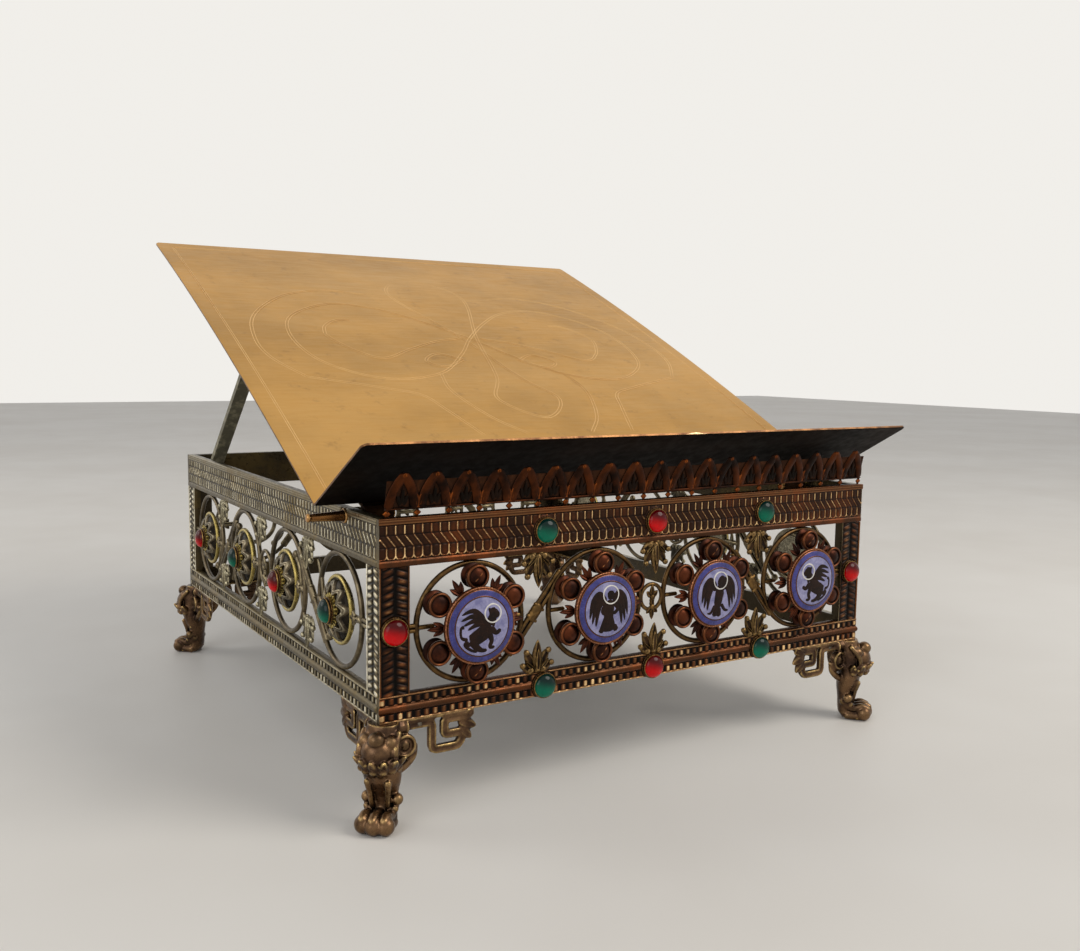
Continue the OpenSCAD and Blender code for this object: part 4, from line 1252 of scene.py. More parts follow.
def medallion(number):
    """Enamel plaque with its halo and figure, which are laid on the dome."""
    made = Shape()
    made.add(plaque())
    if number in (1, 4):
        lines, halo = winged_beast(1 if number == 1 else -1)
    else:
        lines, halo = standing_figure(number == 3)
    x, y, radius = (FIGURE_GROWTH * part for part in halo)
    disc = arc(radius, 0, 360, 37, x, y)[:-1]
    made.add(stroke(disc, 0.8, 0.2, on_ground, 0.5, closed=True), slot=4)
    for path, width in lines:
        smooth = FIGURE_GROWTH * curve_through(path, 6)
        spots = np.interp(np.linspace(0, 1, len(smooth)), np.linspace(0, 1, len(width)), width)
        made.add(stroke(smooth, spots * STROKE_GROWTH, 0.14, on_ground, 0.5), slot=3)
    return made


class LECTERN_OT_medallions(bpy.types.Operator):
    """Four medallions: rimmed discs, roped bezels and figured enamel domes"""

    bl_idname = "lectern.medallions"
    bl_label = "Medallions"

    def execute(self, context):
        discs = Shape()
        rims = Shape()
        for i in range(4):
            x = (i - 1.5) * FRONT_PITCH
            discs.join(petals(), side_frame("front", x, WINDOW_MID, SCROLL_FACE))
            rims.add(bezel(), side_frame("front", x, WINDOW_MID, SCROLL_FACE + PETAL_H))
            place = side_frame("front", x, WINDOW_MID, SCROLL_FACE + PETAL_H + 1.04)
            made = Shape().join(medallion(i + 1), place)
            finishes = [FINISH[k] for k in ("blue", "copper", "lilac", "figure", "white")]
            made = made.piece(f"figured_enamel_{i + 1}", finishes)
            finish_piece(made, "base")
            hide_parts(f"medallion_{i + 1}")
        made = discs.piece("rimmed_discs", [FINISH["petal"]])
        finish_piece(made, "base")
        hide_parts("petal_discs")
        made = rims.piece("roped_bezels", [FINISH["copper"]])
        finish_piece(made, "base")
        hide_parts("medallion_bezels")
        return {"FINISHED"}


# Bosses and stones


def boss():
    """Rimmed dome with a bold serpentine strap and short rays round the collet."""
    rim, edge, inner, flat = 17.0, 14.7, 8.5, CLEAR_R
    radii = np.concatenate([np.linspace(rim, edge, 8), np.linspace(edge - 0.2, flat, 38)])
    sides = 198
    waves = 9

    def relief(r, angle):
        """Height and tone at a distance and angle from the middle."""
        if r > edge:
            round_rim = math.sqrt(max(0.0, 1 - ((r - 15.85) / 1.15) ** 2))
            return 0.9 + 0.9 * round_rim, 0.35 + 0.5 * round_rim
        t = (r - flat) / (edge - flat + 0.1)
        dome = 0.6 + (BOSS_H - 2.2) * math.sqrt(max(0.0, 1 - t * t))
        if r < inner:
            ray = 0.5 + 0.5 * math.cos(22 * angle)
            return dome + 0.5 + 0.4 * ray, 0.3 + 0.65 * ray
        gap = abs(r - 11.5 - 1.9 * math.sin(waves * angle)) * 0.72
        strap = math.sqrt(max(0.0, 1 - (gap / 1.45) ** 2))
        groove = max(0.0, 1 - gap / 0.5)
        return dome + 1.5 * strap - 0.4 * groove, 0.1 + 0.66 * strap - 0.2 * groove

    seat = BOSS_H - 0.02
    points = [(0.0, 0.0, 0.0)]
    points += [(rim * math.cos(angle), rim * math.sin(angle), 0.0) for angle in around(sides)]
    tones = [0.3] * len(points)
    for r in radii:
        for angle in around(sides):
            h, tone = relief(r, angle) if r > flat else (BOSS_H, 0.6)
            points.append((r * math.cos(angle), r * math.sin(angle), min(h, seat)))
            tones.append(tone)
    points.append((0.0, 0.0, seat))
    tones.append(0.6)
    count = len(radii) + 1
    faces = [tuple(1 + i for i in face) for face in grid_faces(count, sides, False, True)]
    slots = []
    for r in radii:
        slots += [1 if r > edge or r < inner else 0] * sides
    for k in range(sides):
        faces.append((0, 1 + (k + 1) % sides, 1 + k))
        last = 1 + (count - 1) * sides
        faces.append((last + k, last + (k + 1) % sides, len(points) - 1))
        slots += [0, 1]
    return points, faces, slots, tones


def collet():
    """Cup of a stone, with a beaded foot and a thin rubbed-over rim."""
    profile = [
        (0, 0), (6.2, 0), (6.48, 0.2), (6.48, 0.55), (6.2, 0.75), (6.3, 1.2), (6.22, 1.7),
        (6.05, 2.0), (5.9, 2.0), (5.82, 1.8), (5.82, 0.58), (0, 0.58),
    ]

    def bead(r, h, angle):
        """Draws the foot in and out like a row of beads."""
        if 0.1 < h < 0.6 and r > 6.3:
            r = r - 0.06 + 0.06 * math.cos(30 * angle)
        return r, h

    return lathe(profile, 120, bead)


def cabochon():
    """High, smooth dome of glass."""
    radius, girdle, rise, steps = 5.78, 0.9, 3.48, 15
    profile = [(0, 0), (5.6, 0), (radius, 0.2), (radius, girdle)]
    for i in range(1, steps):
        a = math.radians(90 * i / steps)
        profile.append((radius * math.cos(a), girdle + rise * math.sin(a)))
    profile.append((0, girdle + rise))
    return lathe(profile, 60)


def stone_kind(side, k):
    """0 for a red or 1 for a green stone on a side's boss."""
    return k % 2 if side == "left" else 1 - k % 2


class LECTERN_OT_bosses(bpy.types.Operator):
    """Rimmed strapwork bosses on the spokes of both sides"""

    bl_idname = "lectern.bosses"
    bl_label = "Side Bosses"

    def execute(self, context):
        part = boss()
        for side in ("left", "right"):
            made = Shape()
            for k in range(4):
                x = (k - 1.5) * SIDE_PITCH
                made.add(part[:3], side_frame(side, x, WINDOW_MID, BOSS_SEAT), tone=part[3])
            made = made.piece(
                f"strapwork_bosses_{side}", [FINISH["boss"], FINISH["boss rim"]], 60
            )
            finish_piece(made, "base")
            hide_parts(f"bosses_{side}")
        return {"FINISHED"}


class LECTERN_OT_stones(bpy.types.Operator):
    """Glass cabochons in beaded collets on the front and the side bosses"""

    bl_idname = "lectern.stones"
    bl_label = "Stones and Collets"

    def execute(self, context):
        seats = [(side_frame("front", x, z, STONE_SEAT), kind) for x, z, kind in STONES]
        for m in (-1, 1):
            x = m * (HALF_W - POST_W / 2)
            seats.append((side_frame("front", x, WINDOW_MID, FIELD), 0))
        flanks = []
        for side in ("left", "right"):
            for k in range(4):
                x = (k - 1.5) * SIDE_PITCH
                place = side_frame(side, x, WINDOW_MID, BOSS_SEAT + BOSS_H)
                flanks.append((place, stone_kind(side, k)))
        dome = cabochon()
        # Painted light: each stone is brighter low down and a little to the left.
        painted_glow = [0.46 - point[1] / 9 - 0.03 * point[0] for point in dome[0]]
        for places, area in ((seats, "front"), (flanks, "sides")):
            cups = Shape()
            colours = (Shape(), Shape())
            for place, kind in places:
                cups.add(collet(), place)
                colours[kind].add(dome, place @ shift(0, 0, 0.6), tone=painted_glow)
            made = cups.piece(f"beaded_collets_{area}", [FINISH["collet"]])
            finish_piece(made, "base")
            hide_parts(f"collets_{area}")
            for kind, word in ((0, "red"), (1, "green")):
                made = colours[kind].piece(f"{word}_cabochons_{area}", [FINISH[word]])
                finish_piece(made, "base")
                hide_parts(f"stones_{word}_{area}")
        return {"FINISHED"}


# Crest


def flat_surface(x, y, h):
    """Point over a plane."""
    return (x, y, h)


def pointed_arch(width, height, inset=0.0, steps=12):
    """Points of a pointed arch from its left foot over the tip to its right foot."""
    radius = (width * width / 4 + height * height) / width
    turn = math.acos((radius - width / 2) / radius)
    left = []
    for i in range(steps + 1):
        a = turn * i / steps
        r = radius - inset
        left.append((radius - width / 2 - r * math.cos(a), r * math.sin(a)))
    left = [(min(x, 0.0), y) for x, y in left]
    return left + [(-x, y) for x, y in reversed(left[:-1])]


class LECTERN_OT_crest(bpy.types.Operator):
    """Leaning strip of pointed arches with low leaves between, on a dark plate that paints the
    shade behind them
    """

    bl_idname = "lectern.crest"
    bl_label = "Crest"

    def execute(self, context):
        arches = context.scene.lectern_sizes.arches
        lean = math.radians(12)
        low = 3.6
        face = -0.8
        width = 2 * (HALF_W - 3)
        pitch = width / arches
        made = Shape()
        for i in range(arches):
            at = shift((i - (arches - 1) / 2) * pitch, low, face)
            band = pointed_arch(pitch + 1.2, 18.3, 2.2)
            made.add(stroke(band, 4.5, 0.72, flat_surface, 0.75, 14), at)
            for m in (-1, 1):
                leaf = at @ shift(0.5 * m, 1.2, -0.1) @ spin(-20 * m)
                made.add(lobe(6.4, 2.1, 0.55, 0.1, 10, 10), leaf, slot=1)
            made.add(lobe(9.0, 1.9, 0.6, 0.1, 10, 10), at @ shift(0, 1.4, 0), slot=1)
        for i in range(arches + 1):
            x = (i - arches / 2) * pitch + 0.9 * (i == 0) - 0.9 * (i == arches)
            stem = [(0, 0.1), (0, 1.8), (0, low + 0.6)]
            made.add(stroke(stem, [1.9, 1.5, 1.9], 0.7, flat_surface, 0.7, 10), shift(x, 0, face))
            made.add(ball(1.9, 0.4, 4, 8), shift(x, 1.9, face))
            if 0 < i < arches:
                for m in (-1, 1):
                    leaf = shift(x, low, -0.7) @ spin(-11 * m)
                    made.add(lobe(8.2, 2.6, 0.7, 0.1, 10, 12), leaf)
        # Dark plate behind the arches: painted shade, standing for the shade under the ledge.
        made.add(block((-width / 2, low - 0.3, -1.5), (width / 2, low + 13.0, -1.15)), slot=1)
        bar = [(-width / 2, 4.0), (0, 4.0), (width / 2, 4.0)]
        made.add(stroke(bar, 1.8, 0.7, flat_surface, 0.6, 12), shift(0, 0, face))
        place = basis(
            (1, 0, 0),
            (0, -math.sin(lean), math.cos(lean)),
            (0, -math.cos(lean), -math.sin(lean)),
            (0, FRONT_Y + 0.3, FRAME_TOP),
        )
        placed = Shape().join(made, place)
        placed = placed.piece("pointed_crest", [FINISH["crest"], FINISH["crest back"]])
        finish_piece(placed, "base")
        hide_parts("crest")
        return {"FINISHED"}


# Feet


def foot_wing():
    """One wing along the rail: bar, knuckle, key spiral, volute and leaf end."""
    made = Shape()
    upright = basis((1, 0, 0), (0, 0, 1), (0, -1, 0), (0, 2.5, 0))
    made.add(block((1, 0.6, -1.6), (47.5, 7.8, 0)))
    knuckle = [(3, -3.2, 0.4), (8, -3.2, 0.7), (13.2, -3.2, 0.5)]
    made.add(tube(knuckle, [2.5, 2.8, 2.6], 18), upright)
    for x in (2.6, 13.6):
        made.add(ring_tube(2.6, 0.7, 28, 8), upright @ shift(x, -3.2, 0.5) @ spin(90, "y"))
    # Key pattern: both ends along the wing, and its three heights
    x0, x1 = 26.4, 41.6
    low, shelf, top = -16.4, -10.2, -3.0
    key = [
        (14, top), (x0, top), (x0, low), (x1 - 2.5, low), (x1 - 0.4, low + 2.2), (x1, shelf),
        (x0 + 6.2, shelf), (x0 + 6.2, top), (x1 + 3.0, top),
    ]
    dense = []
    for a, b in zip(key[:-1], key[1:]):
        for t in np.linspace(0, 1, 7)[:-1]:
            dense.append((a[0] + (b[0] - a[0]) * t, a[1] + (b[1] - a[1]) * t, 0.0))
    dense.append((*key[-1], 0.0))
    dense = np.array(dense)
    dense[1:-1] = (dense[:-2] + 2 * dense[1:-1] + dense[2:]) / 4
    made.add(tube(dense, 2.2, 14, flat=0.66), upright @ shift(0, 0, 0.1))
    side = np.cross(np.gradient(dense, axis=0), (0, 0, 1))
    side /= np.linalg.norm(side, axis=1)[:, None]
    for m in (-1, 1):
        made.add(tube(dense + 1.3 * m * side, 0.78, 10), upright @ shift(0, 0, 1.2))
    for x, z, turn, length, width in (
        (x1 - 2.0, -3.0, -86, 8.6, 5.4),
        (x1 - 2.0, -5.0, -112, 10.4, 6.0),
        (x1 - 1.0, -8.4, -134, 8.4, 5.2),
        (x1 + 1.0, -2.4, -66, 5.4, 4.0),
    ):
        made.add(lobe(length, width, 2.2, 0.6, sink=0.9), upright @ shift(x, z, 0.4) @ spin(turn))
    disc = [
        (0, -2.0), (5.2, -2.0), (5.5, 0.6), (5.4, 1.7), (4.9, 2.4), (4.3, 2.5), (3.8, 2.0),
        (3.4, 1.2), (2.9, 1.0), (2.3, 1.4), (1.4, 2.1), (0, 2.4),
    ]
    made.add(lathe(disc, 40), upright @ shift(12.4, -11.4, 1.2))
    rim = arc(5.6, -150, -20, 16, 12.4, -11.4, 1.0)
    made.add(tube(rim, np.linspace(0.7, 1.5, 16), 10), upright)
    horn = [(18.6, -12.6, 0.4), (17.2, -17.4, 0.8), (12.6, -21.2, 0.8), (7.0, -23.4, 0.2)]
    horn = curve_through(horn, 5)
    made.add(tube(horn, np.linspace(0.9, 2.5, len(horn)), 12), upright)
    made.add(block((1, 1.0, -14), (8, 4.0, -1)))
    return made


def cast_foot():
    """Whole corner foot, as overlapping solids that the casting joins."""
    wing = foot_wing()
    made = Shape().join(wing)
    made.join(wing, basis((0, 1, 0), (1, 0, 0), (0, 0, 1), (0, 0, 0)))
    out = spin(225)
    # Leg with its ball head, and the brows, knobs and ridges on its flanks
    leg = [
        (-46.4, -3.4, 2.8, 6.0), (-43.5, -4.6, 3.8, 6.6), (-39.5, -5.0, 3.9, 6.4),
        (-35.5, -5.2, 3.8, 6.2), (-32.5, -5.2, 4.1, 6.6), (-29, -4.8, 5.0, 7.4),
        (-26, -4.0, 5.9, 8.4), (-22, -3.2, 6.6, 9.0), (-16, -2.6, 7.0, 8.6),
        (-9, -2.8, 6.8, 8.2), (-4, -3.8, 6.2, 7.6), (0, -4.6, 5.6, 7.0),
    ]
    made.add(loft(leg), out)
    made.add(ball(7.6, 1.0, 40, 24), out @ shift(1.4, 0, -11.6))
    made.add(ball(3.8, 0.95, 28, 16), out @ shift(5.0, 0.6, -4.8))
    for m in (-1, 1):
        made.add(ball(3.6, 0.9, 22, 14), out @ shift(0.6, 5.6 * m, -6.8))
        made.add(ball(3.2, 0.9, 22, 14), out @ shift(3.6, 5.0 * m, -15.6))
        brow = [(-2.6, 8.0, -3.6), (1.6, 8.4, -8.4), (2.6, 8.6, -13), (0.8, 8.6, -17.0)]
        brow = [(x, m * y, z) for x, y, z in brow]
        made.add(tube(curve_through(brow, 5), 1.4, 10, up=(1, 0, 0)), out)
        made.add(ball(2.8, 1.0, 18, 12), out @ shift(-3.4, 7.0 * m, -34.0))
        made.add(ball(1.7, 1.0, 14, 8), out @ shift(-1.8, 6.6 * m, -37.8))
        ridge = [(2.0, 4.8 * m, -25), (0.6, 4.2 * m, -30), (-0.8, 3.6 * m, -37.5)]
        made.add(tube(ridge, [1.7, 1.4, 1.2], 10), out)
    # Two rows of leaves below the head
    fan = 29.0
    for k in range(7):
        root = out @ shift(-1.6, 0, -17.2) @ spin((k - 3) * fan)
        made.add(ball(2.1, 0.9, 18, 12), root @ shift(8.2, 0, -1.2))
        place = root @ shift(6.0, 0, -1.6) @ spin(126, "y") @ spin(90)
        made.add(lobe(8.6, 5.0, 2.4, 1.8, 14, 16, sink=0.9), place)
    for k in range(6):
        root = out @ shift(-3.0, 0, -22.6) @ spin((k - 2.5) * fan)
        place = root @ shift(5.4, 0, 0) @ spin(112, "y") @ spin(90)
        made.add(lobe(8.6, 4.4, 2.0, 0.4, 14, 16, sink=0.9), place)
    # Three toes with their sweeps and pads, and the roll that runs through them
    for across, reach in ((-5.1, 5.9), (0.0, 7.0), (5.1, 5.9)):
        made.add(ball(4.2, 1.02, 26, 16), out @ shift(reach, across, -42.8))
        sweep = [(-5.6, -36.6), (-2.6, -39.4), (0.6, -40.2)]
        sweep += [(reach - 1.6, -39.2), (reach + 1.6, -40.2)]
        sweep = curve_through([(x, across, z) for x, z in sweep], 6)
        made.add(tube(sweep, np.linspace(2.4, 2.2, len(sweep)), 14, up=(0, 1, 0)), out)
        made.add(tube([(-3.0, across, -44.6), (reach, across, -44.8)], 2.5, 12), out)
    roll = [(1.3, 8.6), (1.9, 8.0), (2.7, 7.4)]
    roll = [(0, -8.6), *((r, -y) for r, y in roll), *reversed(roll), (0, 8.6)]
    made.add(lathe(roll, 32), out @ shift(5.6, 0, -42.4) @ spin(90, "x"))
    return made


def fused(shape, name, voxel, lowest, highest):
    """One skin over overlapping solids, rounded like a casting."""
    rough = shape.piece(name + "_rough", [])
    remesh = rough.modifiers.new("skin", "REMESH")
    remesh.mode = "VOXEL"
    remesh.voxel_size = voxel * MM
    soften = rough.modifiers.new("soften", "SMOOTH")
    soften.factor = 0.5
    soften.iterations = 3
    seen = bpy.context.evaluated_depsgraph_get()
    mesh = bpy.data.meshes.new_from_object(rough.evaluated_get(seen))
    bpy.data.objects.remove(rough)
    points = np.empty(len(mesh.vertices) * 3)
    mesh.vertices.foreach_get("co", points)
    points = np.clip(points.reshape(-1, 3) / MM, lowest, highest)
    faces = [tuple(p.vertices) for p in mesh.polygons]
    bpy.data.meshes.remove(mesh)
    return points, faces


class LECTERN_OT_feet(bpy.types.Operator):
    """Cast corner feet with ball heads, key-pattern wings and lobed toes"""

    bl_idname = "lectern.feet"
    bl_label = "Feet"

    def execute(self, context):
        voxel = context.scene.lectern_sizes.cast_detail / MM
        low, high = box_mm("foot_front_left")
        corner = np.array([-HALF_W, FRONT_Y, FOOT_H])
        low, high = low - corner, high - corner
        skin = fused(cast_foot(), "cast_foot", voxel, low, high)
        for side_x, right in ((-1, "left"), (1, "right")):
            for side_y, depth in ((-1, "front"), (1, "back")):
                made = Shape().add(skin, corner_frame(side_x, side_y, FOOT_H))
                made = made.piece(f"cast_foot_{depth}_{right}", [FINISH["foot"]], 75)
                finish_piece(made, "base")
                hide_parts(f"foot_{depth}_{right}")
        return {"FINISHED"}


# Desk


class Desk:
    """The bent sheet's outline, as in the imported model."""

    width = 328.0
    length = 337.0
    ledge = 66.0
    thick = 1.5
    bow = 4.5
    slope = 24.8
    rise = 29.3
    lift = 4.3
    bend = 2.0
    corner = 3.0

    def __init__(self):
        opening = math.radians(180 - self.slope - self.rise)
        self.fold = self.lift / math.tan(opening / 2)
        self.radius = (self.length**2 / 4 + self.bow**2) / (2 * self.bow)
        self.cs = self.fold + self.length / 2
        self.cn = self.lift + self.bow - self.radius
        tilt = math.asin(self.length / 2 / self.radius)
        half = (opening - tilt) / 2
        out = self.bend + self.thick
        start = out / math.tan(half)
        # Underside of the sheet, from the top edge over the fold to the ledge's edge
        line = []
        for s in np.linspace(self.fold + self.length, self.fold + start, 90):
            line.append((s, self.cn + math.sqrt(self.radius**2 - (s - self.cs) ** 2)))
        up = np.array([math.cos(tilt), math.sin(tilt)])
        away = np.array([math.cos(opening), math.sin(opening)])
        corner = np.array([self.fold, self.lift])
        split = up + away
        split /= np.linalg.norm(split)
        centre = corner + split * out / math.sin(half)
        first = corner + up * start - centre
        last = corner + away * start - centre
        a0 = math.atan2(first[1], first[0])
        a1 = math.atan2(last[1], last[0])
        if a1 > a0:
            a1 -= 2 * math.pi
        for a in np.linspace(a0, a1, 12)[1:-1]:
            line.append(tuple(centre + out * np.array([math.cos(a), math.sin(a)])))
        for t in np.linspace(start, self.ledge, 24):
            line.append(tuple(corner + away * t))
        self.line = np.array(line)
        self.normal = to_the_right(directions(self.line))

    def world(self, x, s, n):
        """Point in the frame's axes from x, a distance up the slope and one square to it."""
        a = math.radians(self.slope)
        y = HINGE_Y + s * math.cos(a) - n * math.sin(a)
        z = HINGE_Z + s * math.sin(a) + n * math.cos(a)
        return (x, y, z)

    def on_top(self, x, s, h):
        """Point over the desk's upper face, s measured from the fold."""
        s += self.fold
        r = self.radius + self.thick + h
        return self.world(x, s, self.cn + math.sqrt(r * r - (s - self.cs) ** 2))

    def half_width(self, gap):
        """Half of the width at a distance in plan from an end of the sheet."""
        if gap >= self.corner:
            return self.width / 2
        r = self.corner
        return self.width / 2 - r + math.sqrt(max(0.0, r * r - (r - max(gap, 0.0)) ** 2))


def desk_sheet(desk):
    """The bowed, folded sheet with rounded edges and corners, gently uneven."""
    line = desk.line
    ends = [desk.world(0, *line[0])[1], desk.world(0, *line[-1])[1]]
    lengths = np.concatenate([[0], np.cumsum(np.linalg.norm(np.diff(line, axis=0), axis=1))])
    total = lengths[-1]
    # Rows lie close together near the two ends, and on the sheet's own line between
    stops = [0.0, 0.15, 0.5, 1.1, 1.9, 2.9, 4.0, 5.2, 6.5, 8.2]
    between = lengths[(lengths > 9) & (lengths < total - 9)]
    rows = []
    for d in sorted({*stops, *(total - s for s in stops), *between}):
        under = np.array([np.interp(d, lengths, line[:, k]) for k in (0, 1)])
        normal = np.array([np.interp(d, lengths, desk.normal[:, k]) for k in (0, 1)])
        rows.append((under, normal / np.linalg.norm(normal), min(d, total - d)))
    edge_shares = [0.985, 0.996, 1]
    shares = [*(-s for s in reversed(edge_shares)), *np.linspace(-0.97, 0.97, 61), *edge_shares]
    # The sheet is calm near its edges, which are rounded a little
    calm, swing, rounding, skin = 12.0, 0.05, 0.28, 0.02
    random.seed(7)
    waves = []
    for _ in range(5):
        across = random.uniform(0.01, 0.035)
        waves.append((across, random.uniform(0.01, 0.03), random.uniform(0, 6)))
    upper, lower = [], []
    for under, normal, gap in rows:
        y = desk.world(0, *under)[1]
        half = desk.half_width(min(abs(y - ends[0]), abs(y - ends[1])))
        for share in shares:
            x = share * half
            inside = min(1.0, gap / calm) * min(1.0, (half - abs(x)) / calm)
            ripple = sum(math.sin(a * x + b * under[0] + c) for a, b, c in waves) * swing * inside
            edge = min(gap, half - abs(x))
            trim = rounding * max(0.0, 1 - edge / 0.5)
            top = under + normal * (desk.thick - trim + ripple - skin)
            foot = under + normal * (trim + skin + ripple)
            upper.append(desk.world(x, *top))
            lower.append(desk.world(x, *foot))
    n_rows, n_columns = len(rows), len(shares)
    size = len(upper)
    faces, slots = [], []
    for face in grid_faces(n_rows, n_columns):
        faces += [face, tuple(size + i for i in reversed(face))]
        slots += [0, 1]
    loop = list(range(n_columns))
    loop += [r * n_columns + n_columns - 1 for r in range(1, n_rows)]
    loop += [(n_rows - 1) * n_columns + c for c in reversed(range(n_columns - 1))]
    loop += [r * n_columns for r in reversed(range(1, n_rows - 1))]
    for a, b in zip(loop, loop[1:] + loop[:1]):
        faces.append((a, size + a, size + b, b))
        slots.append(2)
    return upper + lower, faces, slots


def engraved_paths():
    """Centre lines of the engraving, across the sheet and up from the fold."""
    lobe_side = [(76, 230), (102, 216), (117, 195), (120, 165), (110, 138), (81, 120), (44, 127)]
    loop = lobe_side + [(18, 153), (0, 178), (-24, 205), (-48, 224)]
    loop += [(-x, s) for x, s in lobe_side] + [(-18, 153), (0, 178), (24, 205), (48, 224)]
    spire = [(0, 72), (21, 94), (8, 123), (-6, 181), (-28, 252), (0, 282)]
    spire += [(28, 252), (6, 181), (-8, 123), (-21, 94)]
    paths = [(curve_through(way, 10, True), True) for way in (loop, spire)]
    for m in (-1, 1):
        outer = [(128, 122), (141, 146), (143, 172), (134, 206), (107, 240), (76, 254), (46, 250)]
        cusp = [(98, 180), (95, 171), (86, 156), (72, 147), (50, 160), (28, 172), (8, 178)]
        hook = [(74, 203), (84, 202), (94, 192), (98, 180)]
        low = [(128, 122), (112, 117), (86, 108), (68, 100), (60, 82), (50, 54)]
        tail = [(44, 127), (47, 108), (43, 90), (34, 70), (21, 54)]
        leaf = [(20, 146), (34, 154), (46, 144), (36, 136), (20, 146)]
        for path in (outer, cusp, hook, low, tail, leaf):
            paths.append((curve_through([(m * x, s) for x, s in path], 8), False))
    return paths


def engraving(desk, spread, width):
    """Fine raised lines in place of the cuts: the double interlace and two border lines."""
    made = Shape()
    for path, closed in engraved_paths():
        across = to_the_right(directions(path, closed))
        for m in (-0.5, 0.5):
            line = path + m * spread * across
            made.add(stroke(line, width, 0.08, desk.on_top, 0.1, 8, closed))
    start = 9
    for gap in (8.8, 9.9):
        x = desk.width / 2 - gap
        top = desk.length - gap
        border = [(-x, s) for s in np.linspace(start, top, 60)]
        border += [(a, top) for a in np.linspace(-x, x, 60)[1:-1]]
        border += [(x, s) for s in np.linspace(top, start, 60)]
        made.add(stroke(border, width * 0.8, 0.07, desk.on_top, 0.1, 8))
    return made


class LECTERN_OT_desk(bpy.types.Operator):
    """Bent sheet desk with its ledge, engraved interlace and border lines"""

    bl_idname = "lectern.desk"
    bl_label = "Desk Sheet"

    def execute(self, context):
        desk = Desk()
        made = Shape().add(desk_sheet(desk))
        # The lower face takes the dark underside finish, which paints its shade.
        finishes = [FINISH["sheet"], FINISH["under"], FINISH["edge"]]
        made = made.piece("bent_desk_sheet", finishes, 50)
        finish_piece(made, "desk")
        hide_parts("book_plate")
        sizes = context.scene.lectern_sizes
        made = engraving(desk, sizes.line_spacing / MM, sizes.line_width / MM)
        made = made.piece("engraved_lines", [FINISH["line"]])
        finish_piece(made, "desk")
        return {"FINISHED"}


# Hinge, racks, prop and screws


def pin(inner, outer):
    """Turned hinge pin from its inner end to its tapering outer tip, along w."""
    return [
        (0, inner), (2.2, inner), (2.48, inner + 0.4), (2.48, HALF_W + 1.2), (2.36, HALF_W + 4),
        (2.1, HALF_W + 9), (1.8, outer - 2.6), (1.75, outer - 2.0), (2.0, outer - 1.6),
        (2.0, outer - 0.7), (1.6, outer - 0.2), (0, outer),
    ]


class LECTERN_OT_fittings(bpy.types.Operator):
    """Hinge pins with their bushes, and the finishes of the racks, prop and screws"""

    bl_idname = "lectern.fittings"
    bl_label = "Hinge and Prop"

    def execute(self, context):
        made = Shape()
        profile = pin(HALF_W - 25, ROD_HIGH[0] - 0.02)
        bush = [(0, -0.6), (3.5, -0.6), (3.5, 0.35), (3.3, 0.6), (2.9, 0.65), (2.7, 0.4), (0, 0.4)]
        for m in (-1, 1):
            outward = basis((0, m, 0), (0, 0, 1), (m, 0, 0), (0, HINGE_Y, HINGE_Z))
            made.add(lathe(profile, 36), outward)
            made.add(lathe(bush, 40), outward @ shift(0, 0, HALF_W - 0.4))
        made = made.piece("hinge_pins_and_bushes", [FINISH["rod"]])
        finish_piece(made, "base")
        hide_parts("hinge_rod")
        for node, finish in (
            ("hinge_bracket_left", "inner"),
            ("hinge_bracket_right", "inner"),
            ("bracket_screws", "screw"),
            ("foot_screws", "screw"),
            ("knuckles", "under"),
            ("rack_left", "inner"),
            ("rack_right", "inner"),
            ("prop_arm_left", "prop"),
            ("prop_arm_right", "prop"),
            ("prop_crossbar", "prop"),
            ("prop_pivots", "screw"),
        ):
            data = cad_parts[node].data
            data.materials.clear()
            data.materials.append(FINISH[finish])
        return {"FINISHED"}


# Stage


